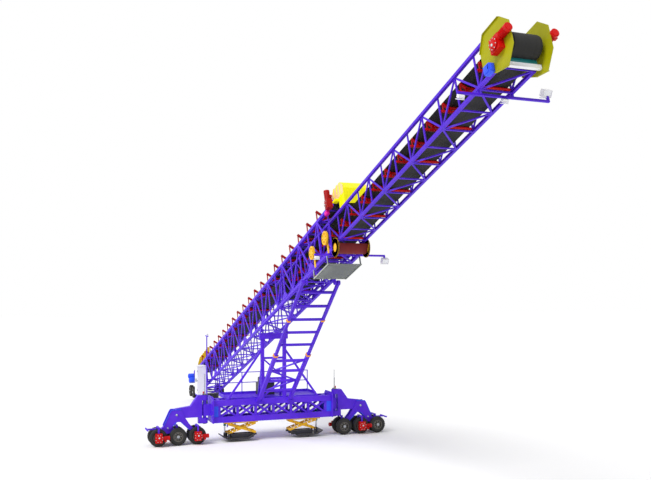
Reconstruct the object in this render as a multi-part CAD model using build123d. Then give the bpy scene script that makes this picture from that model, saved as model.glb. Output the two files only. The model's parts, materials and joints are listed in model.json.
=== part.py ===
"""Radial telescopic conveyor, in millimetres.

X runs forward to the discharge head, Y to the left of travel, Z up.
Pieces are modelled from the floor point under the middle of the wheeled cross beam; save() moves them so that
the part's origin is the slewing centre of the tail base, on the floor.
"""
import math
import os

from build123d import *

os.makedirs("parts", exist_ok=True)

# Boom frame: s along the boom, y across it, w square to it. w = 0 is the lower chord's centre line.
INCLINE = 18.6
BOOM_ORIGIN = (350.0, 0.0, 5540.0)

# Outer boom
BOOM_REAR = -16200.0
BOOM_FRONT = 10300.0
BOOM_BAYS = 22
BOOM_DEPTH = 1620.0
BOOM_HALF = 620.0
BOOM_CHORD = 120.0
BOOM_WEB = 70.0
BOOM_PLATE = 44.0

# Inner boom
INNER_REAR = 2600.0
INNER_FRONT = 22100.0
INNER_BAYS = 19
INNER_LOW = 200.0
INNER_DEPTH = 990.0
INNER_HALF = 510.0
INNER_CHORD = 90.0
INNER_WEB = 52.0
INNER_PLATE = 36.0
INNER_WALL = 10.0

# Belts
BELT_THICK = 16.0
BELT_HALF = 375.0
BELT_FLAT_HALF = 150.0
TROUGH_ANGLE = 35.0
TROUGH_RUN = 700.0
BOOM_DRUM_R = 190.0
BOOM_DRUM_W = 1640.0
BOOM_DRUM_FRONT = 10750.0
BOOM_DRUM_REAR = -15900.0
INNER_DRUM_R = 300.0
INNER_DRUM_W = 620.0
INNER_DRUM_FRONT = 22400.0
INNER_DRUM_REAR = 3300.0
ROLL_R = 50.0
RETURN_ROLL_R = 45.0
DRUM_HALF = 430.0
DRUM_SHAFT_R = 50.0
DRUM_WALL = 24.0
DRUM_WEB_HALF = 30.0

# Clearances
PIN_GAP = 0.5
SEAT_GAP = 0.3

# Cross beam
BEAM_HALF = 3000.0
BEAM_X = 350.0
BEAM_LOW = 970.0
BEAM_HIGH = 2050.0
BEAM_CHORD_W = 200.0
BEAM_CHORD_H = 280.0
BEAM_BAYS = 6
BEAM_WEB = 90.0
FLANGE_T = 50.0
HINGE_BOX = 300.0

# Swing arms and bogies
HINGE_Y = 3330.0
HINGE_PIN_R = 80.0
TONGUE_HALF = 120.0
YOKE_HALF = 150.0
YOKE_LOW = 950.0
YOKE_HIGH = 2290.0
YOKE_FLANGE = 240.0
ARM_HALF = 140.0
ROCKER_PLATE = 30.0
SUB_HALF = 130.0
WHEEL_R = 420.0
WHEEL_WIDE = 220.0
WHEEL_X = 300.0
RIM_R = 235.0
AXLE_R = 45.0
STATIONS = {"inner": 3740.0, "middle": 4660.0, "outer": 5580.0}

# Tower and luffing legs
COLUMN_Y = 560.0
COLUMN = 160.0
PIVOT_DROP = 200.0
PIVOT_R = 50.0
LEG_Y = 780.0
LEG_FOOT = (620.0, 2050.0)
LEG_HEAD_S = 7030.0
LEG_HEAD_DROP = 190.0
LEG_OUTER = 160.0
LEG_WALL = 12.0
LEG_INNER = 120.0
LEG_OUTER_LENGTH = 3600.0
LEG_OVERLAP = 1300.0
LEG_PIN_PLAY = 14.0

# Lifting feet
FOOT_Y = 1550.0
FOOT_REACH = 650.0
FOOT_TOP = 840.0
FOOT_LOW = 420.0
LINK_WIDE = 110.0
LINK_T = 25.0
LINK_A_X = 230.0
LINK_B_X = 190.0
FOOT_ROLLER_R = 60.0
FOOT_PIN_R = 25.0
PAD_SHIFT = 200.0
CYLINDER_OUT = 150.0
BARREL_LOW = 750.0
BARREL_HIGH = 1330.0
RAM_TOP = 1000.0
PAD_BOTTOM = 130.0
PAD_TOP = 335.0

# Boom lugs and gear
LUG_IN = 590.0
LUG_OUT = 650.0
LEG_PIN_END = 850.0
GUIDE_R = 55.0
RIDE_R = 70.0
HOPPER_REAR = -15600.0
HOPPER_FRONT = -13000.0
HOPPER_RIBS = 6
CABINET_X = -10900.0
CABINET_Y = 1250.0
CABINET_WIDE = 700.0
CABINET_DEEP = 550.0
CABINET_LOW = 960.0
CABINET_HIGH = 2680.0
MAST_TOP = 4500.0
SHEAVES = (8450.0, 10000.0)
SHEAVE_W = 560.0
SHEAVE_R = 270.0
HEAD_S = INNER_DRUM_FRONT

# Tail
TAIL_S = -14400.0
TAIL_DROP = 190.0
TAIL_LUG_IN = 560.0
TAIL_LUG_OUT = 600.0
TAIL_WHEEL_R = 380.0
TAIL_WHEEL_WIDE = 240.0
TAIL_WHEEL_Y = 900.0
TAIL_RIM_R = 215.0
TAIL_AXLE_R = 40.0
TAIL_AXLES = {"front": (-15739.0, 106.0), "rear": (-16640.0, 409.0)}
TAIL_ARM_Y = 630.0
TAIL_BASE_HALF = 650.0
ANCHOR_PITCH = 1100.0
ANCHOR_R = 17.0

RIGHT = Location((0, 0, 0), (0, 0, 180))
LEFT = Location((0, 0, 0))


def boom_place():
    """Location that turns boom coordinates into machine coordinates."""
    return Location(BOOM_ORIGIN, (0, -INCLINE, 0))


def boom_point(s, y, w):
    """Machine coordinates of a boom point."""
    cos, sin = math.cos(math.radians(INCLINE)), math.sin(math.radians(INCLINE))
    return (BOOM_ORIGIN[0] + s * cos - w * sin, y, BOOM_ORIGIN[2] + s * sin + w * cos)


def box(x0, x1, y0, y1, z0, z1):
    """Box between two corners."""
    return Pos((x0 + x1) / 2, (y0 + y1) / 2, (z0 + z1) / 2) * Box(x1 - x0, y1 - y0, z1 - z0)


def bar(p, q, wide, deep, up=(0, 0, 1)):
    """Straight box-section member from p to q; deep lies towards up."""
    p, q, up = Vector(*p), Vector(*q), Vector(*up)
    along = (q - p).normalized()
    if abs(along.dot(up)) > 0.99:
        up = Vector(1, 0, 0)
    square = (up - along * up.dot(along)).normalized()
    return Plane(origin=(p + q) * 0.5, x_dir=along, z_dir=square) * Box((q - p).length, wide, deep)


def rod(p, q, radius):
    """Round bar from p to q."""
    p, q = Vector(*p), Vector(*q)
    along = (q - p).normalized()
    side = Vector(0, 0, 1) if abs(along.Z) < 0.9 else Vector(1, 0, 0)
    return Plane(origin=(p + q) * 0.5, x_dir=side.cross(along), z_dir=along) * Cylinder(radius, (q - p).length)


def plate(points, plane, start, end):
    """Polygon in a plane, extruded from start to end along its normal."""
    face = make_face(Polyline(*points, close=True))
    return extrude(plane.offset(start) * face, amount=end - start)


def inset(corners, gap):
    """Triangle with each side moved inwards by gap, or None if nothing is left."""
    (ax, ay), (bx, by), (cx, cy) = corners
    a, b, c = math.dist((bx, by), (cx, cy)), math.dist((ax, ay), (cx, cy)), math.dist((ax, ay), (bx, by))
    round_trip = a + b + c
    centre = ((a * ax + b * bx + c * cx) / round_trip, (a * ay + b * by + c * cy) / round_trip)
    area = abs((bx - ax) * (cy - ay) - (cx - ax) * (by - ay)) / 2
    keep = 1 - gap * round_trip / (2 * area)
    return [(centre[0] + (x - centre[0]) * keep, centre[1] + (y - centre[1]) * keep) for x, y in corners]


def lattice(start, end, low, high, bays, web, crossed=False):
    """Lattice panel as a face with triangular openings, in its own (run, rise) plane.

    The openings lie between low and high; the panel's posts and diagonals are web wide.
    """
    pitch = (end - start) / bays
    half = web / 2
    holes = []
    for bay in range(bays):
        a, b = start + bay * pitch, start + (bay + 1) * pitch
        lo, hi = low - half, high + half
        mid = ((a + b) / 2, (lo + hi) / 2)
        if crossed:
            corners = [(a, lo), (b, lo), (b, hi), (a, hi)]
            shapes = [[corners[i], corners[(i + 1) % 4], mid] for i in range(4)]
        elif bay % 2:
            shapes = [[(a, lo), (b, lo), (a, hi)], [(b, lo), (b, hi), (a, hi)]]
        else:
            shapes = [[(a, lo), (b, lo), (b, hi)], [(a, lo), (b, hi), (a, hi)]]
        holes += [Wire.make_polygon([Vector(x, y) for x, y in inset(shape, half)], close=True) for shape in shapes]
    outline = [(start, low - half), (end, low - half), (end, high + half), (start, high + half)]
    return Face(Wire.make_polygon([Vector(x, y) for x, y in outline], close=True), holes)


def lattice_plate(face, plane, start, end):
    """Lattice face placed in a plane and extruded from start to end along its normal."""
    placed = plane.offset(start) * face
    return extrude(placed, amount=end - start)


def save(name, solids, place=None):
    """Write one node, moved to the part's origin."""
    shapes = solids if isinstance(solids, list) else [solids]
    shift = Pos(-boom_point(TAIL_S, 0, -TAIL_DROP)[0], 0, 0)
    flat = []
    for shape in shapes:
        moved = shift * place * shape if place is not None else shift * shape
        flat += list(moved.solids())
    export_step(Compound(children=flat) if len(flat) > 1 else flat[0], f"parts/{name}.step")


SIDE = Plane.XZ  # normal is -Y
LEVEL = Plane.XY


def truss(rear, front, low, depth, half, chord, web, side_plate, bays, flush_outside, roof_bays, wall=0.0):
    """Box truss of four chords with lattice sides and floor, and a lattice roof on its front bays.

    With a wall, the chords are channels that open to the inside.
    """
    high = low + depth
    pieces = []
    for side in (-1, 1):
        for level in (low, high):
            y = side * half
            solid = box(rear, front, y - chord / 2, y + chord / 2, level - chord / 2, level + chord / 2)
            if wall:
                y_in, y_out = sorted((side * (half - chord / 2 - 5), side * (half + chord / 2 - wall)))
                solid -= box(rear + 20, front - 20, y_in, y_out, level - chord / 2 + wall, level + chord / 2 - wall)
            pieces.append(solid)
        face = lattice(rear, front, low + chord / 2, high - chord / 2, bays, web)
        outer = half + chord / 2
        near = outer - side_plate if flush_outside else half - chord / 2
        span = (near, near + side_plate) if side < 0 else (-near - side_plate, -near)
        pieces.append(lattice_plate(face, SIDE, *span))
    floor = lattice(rear, front, -half + chord / 2, half - chord / 2, bays, web)
    pieces.append(lattice_plate(floor, LEVEL, low - chord / 2, low - chord / 2 + side_plate))
    if roof_bays:
        roof_rear = front - roof_bays * (front - rear) / bays
        roof = lattice(roof_rear, front, -half + chord / 2, half - chord / 2, roof_bays, web)
        pieces.append(lattice_plate(roof, LEVEL, high - chord / 2, high - chord / 2 + side_plate))
    return pieces


def fuse(pieces):
    """One shape from overlapping or touching pieces."""
    return pieces[0].fuse(*pieces[1:]) if len(pieces) > 1 else pieces[0]


def tyre(radius, wide, rim):
    """Tyre ring about the Y axis."""
    half = wide / 2
    section = [(rim, -half + 15), (radius - 60, -half), (radius - 12, -half + 30), (radius, -half + 60),
               (radius, half - 60), (radius - 12, half - 30), (radius - 60, half), (rim, half - 15)]
    return revolve(Plane.XY * make_face(Polyline(*section, close=True)), Axis.Y)


def belt(front, rear, drum_w, radius):
    """Endless belt: flat round both drums and below, troughed on the carrying run."""
    inner = Pos((front + rear) / 2, drum_w) * SlotCenterToCenter(front - rear, 2 * radius)
    outer = Pos((front + rear) / 2, drum_w) * SlotCenterToCenter(front - rear, 2 * (radius + BELT_THICK))
    loop = extrude(Plane.XZ * (outer - inner), amount=BELT_HALF, both=True)
    a, b = rear + TROUGH_RUN / 2, front - TROUGH_RUN / 2
    top = drum_w + radius
    loop -= box(a, b, -BELT_HALF - 10, BELT_HALF + 10, top - 5, top + BELT_THICK + 5)
    wing = BELT_HALF - BELT_FLAT_HALF
    cos, sin = math.cos(math.radians(TROUGH_ANGLE)), math.sin(math.radians(TROUGH_ANGLE))

    def section(s, lift):
        c, n = (cos, sin) if lift else (1.0, 0.0)
        right = [(BELT_FLAT_HALF, 0), (BELT_FLAT_HALF + wing * c, wing * n),
                 (BELT_FLAT_HALF + wing * c - BELT_THICK * n, wing * n + BELT_THICK * c),
                 (BELT_FLAT_HALF, BELT_THICK)]
        points = right + [(-y, w) for y, w in reversed(right)]
        return [Vector(s, y, top + w) for y, w in points]

    def ruled(s0, lift0, s1, lift1):
        faces = [Face(Wire.make_polygon(section(s, lift), close=True)) for s, lift in ((s0, lift0), (s1, lift1))]
        return Solid.make_loft([face.outer_wire() for face in faces], ruled=True)

    steps = [(a, False), (a + TROUGH_RUN, True), (b - TROUGH_RUN, True), (b, False)]
    runs = [ruled(*steps[i], *steps[i + 1]) for i in range(3)]
    return fuse([loop] + runs)


def drum(s, w, radius, half, shaft_half):
    """Open drum shell on one web, with its shaft across the boom."""
    body = rod((s, -half, w), (s, half, w), radius)
    for side in (-1, 1):
        body -= rod((s, side * DRUM_WEB_HALF, w), (s, side * (half + 10), w), radius - DRUM_WALL)
    return body + rod((s, -shaft_half, w), (s, shaft_half, w), DRUM_SHAFT_R)


def idler(s, top, channel_low, channel_high, reach):
    """Three-roll trough idler: cross channel, brackets and rolls."""
    angle = math.radians(TROUGH_ANGLE)
    pieces = [box(s - 40, s + 40, -reach, reach, channel_low, channel_high)]
    axis = top - ROLL_R - SEAT_GAP
    flat = BELT_FLAT_HALF - 12
    pieces.append(rod((s, -flat, axis), (s, flat, axis), ROLL_R))
    for side in (-1, 1):
        y0 = BELT_FLAT_HALF + ROLL_R * math.sin(angle) + 6
        w0 = top - ROLL_R * math.cos(angle) - SEAT_GAP + 6 * math.tan(angle) / 2
        y1, w1 = y0 + 215 * math.cos(angle), w0 + 215 * math.sin(angle)
        pieces.append(rod((s, side * y0, w0), (s, side * y1, w1), ROLL_R))
        pieces.append(box(s - 12, s + 12, *sorted((side * (flat - 4), side * (y0 + 22))), channel_high - 2, axis + 15))
        pieces.append(box(s - 12, s + 12, *sorted((side * (y1 - 14), side * (y1 + 14))), channel_high - 2, w1 + 12))
    return fuse(pieces)



def boom():
    """Outer boom: truss, belt, idlers, drums, drives, hood, hopper, cabinet and small gear."""
    place = boom_place()
    pitch = (BOOM_FRONT - BOOM_REAR) / BOOM_BAYS
    posts = [BOOM_REAR + pitch * i for i in range(BOOM_BAYS + 1)]
    high = BOOM_DEPTH + BOOM_CHORD / 2
    out = BOOM_HALF + BOOM_CHORD / 2
    inside = BOOM_HALF - BOOM_CHORD / 2

    pieces = truss(BOOM_REAR, BOOM_FRONT, 0, BOOM_DEPTH, BOOM_HALF, BOOM_CHORD, BOOM_WEB, BOOM_PLATE,
                   BOOM_BAYS, True, BOOM_BAYS - 1)
    for side in (-1, 1):
        for index in range(2, BOOM_BAYS - 1, 3):
            s = posts[index]
            points = [(s - 420, 50), (s + 420, 50), (s + 90, 330), (s - 90, 330)]
            span = (out - 10, out + 12) if side < 0 else (-out - 12, -out + 10)
            pieces.append(plate(points, SIDE, *span))
        points = [(BOOM_FRONT - 200, high - 260), (BOOM_FRONT - 200, high), (BOOM_DRUM_FRONT + 150, high + 60),
                  (BOOM_DRUM_FRONT + 150, high - 160)]
        span = (out - 60, out - 20) if side < 0 else (-out + 20, -out + 60)
        pieces.append(plate(points, SIDE, *span))
        for s, drop in ((0.0, PIVOT_DROP), (LEG_HEAD_S, LEG_HEAD_DROP)):
            y_in, y_out = side * LUG_IN, side * LUG_OUT
            pieces.append(box(s - 110, s + 110, *sorted((y_in, y_out)), -drop, -BOOM_CHORD / 2 + 1))
            pieces.append(rod((s, y_in, -drop), (s, y_out, -drop), 90))
        y_in, y_out = sorted((side * TAIL_LUG_IN, side * TAIL_LUG_OUT))
        pieces.append(box(TAIL_S - 90, TAIL_S + 90, y_in, y_out, -TAIL_DROP, -BOOM_CHORD / 2 + 1))
        pieces.append(rod((TAIL_S, y_in, -TAIL_DROP), (TAIL_S, y_out, -TAIL_DROP), 90))
    front_s, front_w = TAIL_AXLES["front"]
    rear_s, rear_w = TAIL_AXLES["rear"]
    for side in (-1, 1):
        y_in, y_out = sorted((side * 600, side * (out + 20)))
        pieces.append(box(front_s - 120, front_s + 120, y_in, y_out, BOOM_CHORD / 2 - 1, front_w + 100))
        arm = [(BOOM_REAR + 60, 120), (BOOM_REAR + 60, 820), (rear_s + 90, rear_w + 90), (rear_s - 90, rear_w + 90),
               (rear_s - 90, rear_w - 90), (rear_s + 90, rear_w - 90)]
        pieces.append(plate(arm, SIDE, *sorted((-side * TAIL_ARM_Y, -side * (TAIL_ARM_Y + 50)))))
    pieces.append(box(BOOM_REAR - 220, BOOM_REAR - 160, -TAIL_ARM_Y - 1, TAIL_ARM_Y + 1, rear_w + 60, rear_w + 140))
    pieces.append(box(BOOM_FRONT - 400, BOOM_FRONT - 340, -1250, 1650, -120, -60))
    pieces.append(box(BOOM_FRONT - 400, BOOM_FRONT - 340, 1590, 1650, -200, -119))
    truss_body = fuse(pieces)
    truss_body -= rod((0, -800, -PIVOT_DROP), (0, 800, -PIVOT_DROP), PIVOT_R + PIN_GAP)
    truss_body -= rod((TAIL_S, -800, -TAIL_DROP), (TAIL_S, 800, -TAIL_DROP), PIVOT_R + PIN_GAP)
    for s, w in TAIL_AXLES.values():
        truss_body -= rod((s, -900, w), (s, 900, w), TAIL_AXLE_R + PIN_GAP)
    head_pins = [rod((LEG_HEAD_S, side * (LUG_IN + 5), -LEG_HEAD_DROP),
                     (LEG_HEAD_S, side * LEG_PIN_END, -LEG_HEAD_DROP), PIVOT_R) for side in (-1, 1)]
    save("boom_truss", fuse([truss_body] + head_pins), place)

    for name, (s, w) in TAIL_AXLES.items():
        tyres, hub = [], [rod((s, -TAIL_WHEEL_Y - 100, w), (s, TAIL_WHEEL_Y + 100, w), TAIL_AXLE_R)]
        for side in (-1, 1):
            y = side * TAIL_WHEEL_Y
            spun = tyre(TAIL_WHEEL_R, TAIL_WHEEL_WIDE, TAIL_RIM_R)
            tyres.append(Pos(s, y, w) * spun)
            half = TAIL_WHEEL_WIDE / 2
            rim = rod((s, y - half + 20, w), (s, y + half - 20, w), TAIL_RIM_R)
            face = y + side * (half - 20)
            hub.append(rim - rod((s, face - side * 70, w), (s, face + side * 5, w), TAIL_RIM_R - 40))
            hub.append(rod((s, y, w), (s, face + side * 10, w), 80))
        save(f"tail_{name}_tyres", tyres, place)
        save(f"tail_{name}_hub", fuse(hub), place)

    save("boom_belt", belt(BOOM_DRUM_FRONT, BOOM_DRUM_REAR, BOOM_DRUM_W, BOOM_DRUM_R), place)
    reach = out - BOOM_PLATE
    drums = [drum(s, BOOM_DRUM_W, BOOM_DRUM_R, DRUM_HALF, half)
             for s, half in ((BOOM_DRUM_FRONT, out - 60), (BOOM_DRUM_REAR, inside))]
    roller_w = INNER_LOW - INNER_CHORD / 2 - SEAT_GAP - GUIDE_R
    guide = rod((BOOM_FRONT - 200, -inside, roller_w), (BOOM_FRONT - 200, inside, roller_w), 20)
    for side in (-1, 1):
        y_in, y_out = sorted((side * (INNER_HALF - 40), side * (INNER_HALF + 40)))
        guide = guide.fuse(rod((BOOM_FRONT - 200, y_in, roller_w), (BOOM_FRONT - 200, y_out, roller_w), GUIDE_R))
        y_in, y_out = sorted((side * (inside - 40), side * inside))
        guide = guide.fuse(box(BOOM_FRONT - 230, BOOM_FRONT - 170, y_in, y_out, 20, roller_w + 30))
    save("boom_drums", drums + [guide], place)

    top = BOOM_DRUM_W + BOOM_DRUM_R
    rows = [idler(s, top, high, high + 50, out - 20) for s in posts[2:-1]]
    return_w = BOOM_DRUM_W - BOOM_DRUM_R - BELT_THICK - SEAT_GAP - RETURN_ROLL_R
    for s in posts[2:-1:2]:
        roll = rod((s, -BELT_HALF - 40, return_w), (s, BELT_HALF + 40, return_w), RETURN_ROLL_R)
        rows.append(roll.fuse(box(s - 15, s + 15, -reach, reach, return_w - 15, return_w + 15)))
    save("boom_idlers", rows, place)

    drives = []
    for side in (-1, 1):
        y_in, y_out = sorted((side * (out - 20), side * (out + 190)))
        gear = box(BOOM_DRUM_FRONT - 150, BOOM_DRUM_FRONT + 150, y_in, y_out, BOOM_DRUM_W - 190, BOOM_DRUM_W + 170)
        motor = rod((BOOM_DRUM_FRONT - 60, side * (out + 85), BOOM_DRUM_W + 160),
                    (BOOM_DRUM_FRONT - 60, side * (out + 85), BOOM_DRUM_W + 560), 105)
        drives.append(gear.fuse(motor))
    save("boom_drives", drives, place)

    hood_half, wall = 480.0, 12.0
    rear, front, low, tall = BOOM_DRUM_FRONT - 330, BOOM_DRUM_FRONT + 870, INNER_LOW + INNER_DEPTH + 120, 2250.0
    shell = [(rear, high + 190), (rear, high + 330), (rear + 260, tall), (front - 260, tall),
             (front, tall - 320), (front, low), (front - 520, low), (front - 560, high + 190)]
    hood = plate(shell, SIDE, -hood_half, hood_half)
    hollow = [(rear - 50, high + 100), (rear - 50, high + 320), (rear + 264, tall - wall), (front - 264, tall - wall),
              (front - wall, tall - 325), (front - wall, low - 50), (rear - 50, low - 50)]
    hood -= plate(hollow, SIDE, -hood_half + wall, hood_half - wall)
    for side in (-1, 1):
        y_in, y_out = sorted((side * (hood_half - 5), side * (out - 20)))
        hood = hood.fuse(box(BOOM_DRUM_FRONT + 150, BOOM_DRUM_FRONT + 420, y_in, y_out, high - 90, high - 10))
    save("transfer_hood", hood, place)

    skirt = []
    for side in (-1, 1):
        y_in, y_out = sorted((side * 330, side * 350))
        skirt.append(box(HOPPER_REAR, HOPPER_FRONT, y_in, y_out, top + 210, top + 620))
        for index in range(HOPPER_RIBS):
            s = HOPPER_REAR + 60 + index * (HOPPER_FRONT - HOPPER_REAR - 120) / (HOPPER_RIBS - 1)
            rib = [(350, top + 615), (430, top + 615), (out - 10, high), (out - 90, high), (350, top + 260)]
            outline = [(side * y, w) for y, w in rib]
            skirt.append(plate(outline, Plane.YZ, s - 14, s + 14))
    skirt.append(box(HOPPER_REAR - 20, HOPPER_REAR, -350, 350, top + 210, top + 620))
    save("feed_hopper", fuse(skirt), place)

    near_face = -CABINET_Y + CABINET_DEEP / 2
    far_face = -CABINET_Y - CABINET_DEEP / 2
    cabinet = box(CABINET_X - CABINET_WIDE / 2, CABINET_X + CABINET_WIDE / 2, far_face, near_face,
                  CABINET_LOW, CABINET_HIGH)
    save("control_cabinet", cabinet)
    frame = [box(CABINET_X - 330, CABINET_X + 330, near_face, near_face + 40, CABINET_LOW - 40, CABINET_HIGH - 300),
             box(CABINET_X - 350, CABINET_X + 350, far_face, near_face + 40, CABINET_LOW - 60, CABINET_LOW)]
    for x in (CABINET_X - 250, CABINET_X + 250):
        chord_z = boom_point(0, 0, 0)[2] + (x - BOOM_ORIGIN[0]) * math.tan(math.radians(INCLINE))
        frame.append(box(x - 40, x + 40, near_face + 39, -out, chord_z - 40, chord_z + 40))
    mast_x = CABINET_X + CABINET_WIDE / 2 + 60
    frame.append(box(mast_x - 30, mast_x + 30, near_face - 20, near_face + 40, CABINET_LOW - 60, MAST_TOP))
    frame.append(box(mast_x - 90, mast_x, near_face, near_face + 40, CABINET_LOW - 60, CABINET_LOW))
    frame.append(box(mast_x - 90, mast_x, near_face, near_face + 40, CABINET_HIGH - 400, CABINET_HIGH - 340))
    frame.append(box(mast_x - 350, mast_x + 350, near_face - 20, near_face + 40, MAST_TOP - 1, MAST_TOP + 60))
    save("cabinet_frame", fuse(frame))

    sheaves = []
    for s in SHEAVES:
        disc = rod((s, -out - 130, SHEAVE_W), (s, -out - 60, SHEAVE_W), SHEAVE_R)
        for index in range(8):
            angle = math.tau * index / 8
            at = (s + SHEAVE_R * 0.62 * math.cos(angle), SHEAVE_W + SHEAVE_R * 0.62 * math.sin(angle))
            disc -= rod((at[0], -out - 140, at[1]), (at[0], -out - 50, at[1]), 42)
        bracket = box(s - 60, s + 60, -out - 30, -out, -40, SHEAVE_W + 60)
        sheaves.append(disc.fuse(rod((s, -out - 61, SHEAVE_W), (s, -out - 20, SHEAVE_W), 50), bracket))
    save("cable_sheaves", sheaves, place)

    guard = rod((BOOM_FRONT + 180, -600, 60), (BOOM_FRONT + 180, 600, 60), 300)
    guard -= rod((BOOM_FRONT + 180, -590, 60), (BOOM_FRONT + 180, 590, 60), 288)
    guard -= box(BOOM_FRONT - 200, BOOM_FRONT + 600, -700, 700, 60, 500)
    for side in (-1, 1):
        y_in, y_out = sorted((side * 540, side * 600))
        guard = guard.fuse(box(BOOM_FRONT, BOOM_FRONT + 20, y_in, y_out, -60, 59))
    save("front_guard", guard & box(BOOM_FRONT, BOOM_FRONT + 900, -700, 700, -500, 500), place)

    grate = [box(BOOM_FRONT - 2200, BOOM_FRONT - 500, -700, -650, -420, -380),
             box(BOOM_FRONT - 2200, BOOM_FRONT - 500, 650, 700, -420, -380)]
    for index in range(18):
        s = BOOM_FRONT - 2200 + index * 98
        grate.append(box(s, s + 30, -660, 660, -412, -386))
    for s in (BOOM_FRONT - 2150, BOOM_FRONT - 560):
        for side in (-1, 1):
            y_in, y_out = sorted((side * 650, side * 690))
            grate.append(box(s - 25, s + 25, y_in, y_out, -400, -60))
    save("front_platform", fuse(grate), place)


def inner_boom():
    """Telescoping inner boom: truss, belt, idlers, drums and head."""
    place = boom_place()
    pitch = (INNER_FRONT - INNER_REAR) / INNER_BAYS
    posts = [INNER_REAR + pitch * i for i in range(INNER_BAYS + 1)]
    out = INNER_HALF + INNER_CHORD / 2
    inside = INNER_HALF - INNER_CHORD / 2
    pieces = truss(INNER_REAR, INNER_FRONT, INNER_LOW, INNER_DEPTH, INNER_HALF, INNER_CHORD, INNER_WEB,
                   INNER_PLATE, INNER_BAYS, False, 0, INNER_WALL)
    pieces.append(box(INNER_FRONT - 1100, INNER_FRONT - 1040, -1150, 1650, 20, 80))
    pieces.append(box(INNER_FRONT - 1100, INNER_FRONT - 1040, 1590, 1650, 79, 200))
    for side in (-1, 1):
        y_in, y_out = sorted((side * (INNER_HALF - 30), side * (INNER_HALF + 30)))
        pieces.append(box(INNER_FRONT - 1100, INNER_FRONT - 1040, y_in, y_out, 79, INNER_LOW - 40))
        y_in, y_out = sorted((side * inside, side * (inside + INNER_PLATE)))
        pieces.append(box(INNER_DRUM_REAR - 110, INNER_DRUM_REAR + 110, y_in, y_out,
                          INNER_LOW + 40, INNER_LOW + INNER_DEPTH - 40))
    save("inner_truss", fuse(pieces), place)
    save("inner_belt", belt(INNER_DRUM_FRONT, INNER_DRUM_REAR, INNER_DRUM_W, INNER_DRUM_R), place)

    top = INNER_DRUM_W + INNER_DRUM_R
    rows = [idler(s, top, top - 200, top - 150, inside) for s in posts[2:-1]]
    return_w = INNER_DRUM_W - INNER_DRUM_R - BELT_THICK - SEAT_GAP - RETURN_ROLL_R
    for s in posts[2:-1:2]:
        roll = rod((s, -BELT_HALF - 40, return_w), (s, BELT_HALF + 40, return_w), RETURN_ROLL_R)
        rows.append(roll.fuse(box(s - 15, s + 15, -inside, inside, return_w - 15, return_w + 15)))
    save("inner_idlers", rows, place)

    rolls = [drum(INNER_DRUM_FRONT, INNER_DRUM_W, INNER_DRUM_R, DRUM_HALF, out),
             drum(INNER_DRUM_REAR, INNER_DRUM_W, INNER_DRUM_R, DRUM_HALF, inside)]
    ride_s, ride_w = INNER_REAR + 300, BOOM_CHORD / 2 + SEAT_GAP + RIDE_R
    for side in (-1, 1):
        y_in, y_out = sorted((side * (out + 8), side * (out + 70)))
        roller = rod((ride_s, y_in, ride_w), (ride_s, y_out, ride_w), RIDE_R)
        y_in, y_out = sorted((side * out, side * (out + 20)))
        rolls.append(roller.fuse(box(ride_s - 35, ride_s + 35, y_in, y_out, 100, 240)))
    save("inner_drums", rolls, place)

    cheeks = []
    for side in (-1, 1):
        y_in, y_out = (out, out + 14) if side > 0 else (-out - 14, -out)
        points = [(HEAD_S - 900, 360), (HEAD_S - 900, 900), (HEAD_S - 620, 1340), (HEAD_S + 120, 1340),
                  (HEAD_S + 480, 980), (HEAD_S + 480, 330), (HEAD_S + 130, -90), (HEAD_S - 400, 60)]
        cheek = plate(points, SIDE, -y_out, -y_in)
        cheek -= rod((HEAD_S, -900, INNER_DRUM_W), (HEAD_S, 900, INNER_DRUM_W), 70)
        cheeks.append(cheek)
    save("head_cheeks", cheeks, place)

    drives = []
    for side in (-1, 1):
        y_in, y_out = sorted((side * (out + 14), side * (out + 190)))
        gear = box(HEAD_S - 230, HEAD_S + 150, y_in, y_out, INNER_DRUM_W - 190, INNER_DRUM_W + 210)
        motor = rod((HEAD_S + 140, side * (out + 112), INNER_DRUM_W + 110),
                    (HEAD_S + 560, side * (out + 112), INNER_DRUM_W + 110), 95)
        stub = rod((HEAD_S, side * out, INNER_DRUM_W), (HEAD_S, side * (out + 15), INNER_DRUM_W), 50)
        drives.append(gear.fuse(motor, stub))
    save("head_drives", drives, place)


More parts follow.
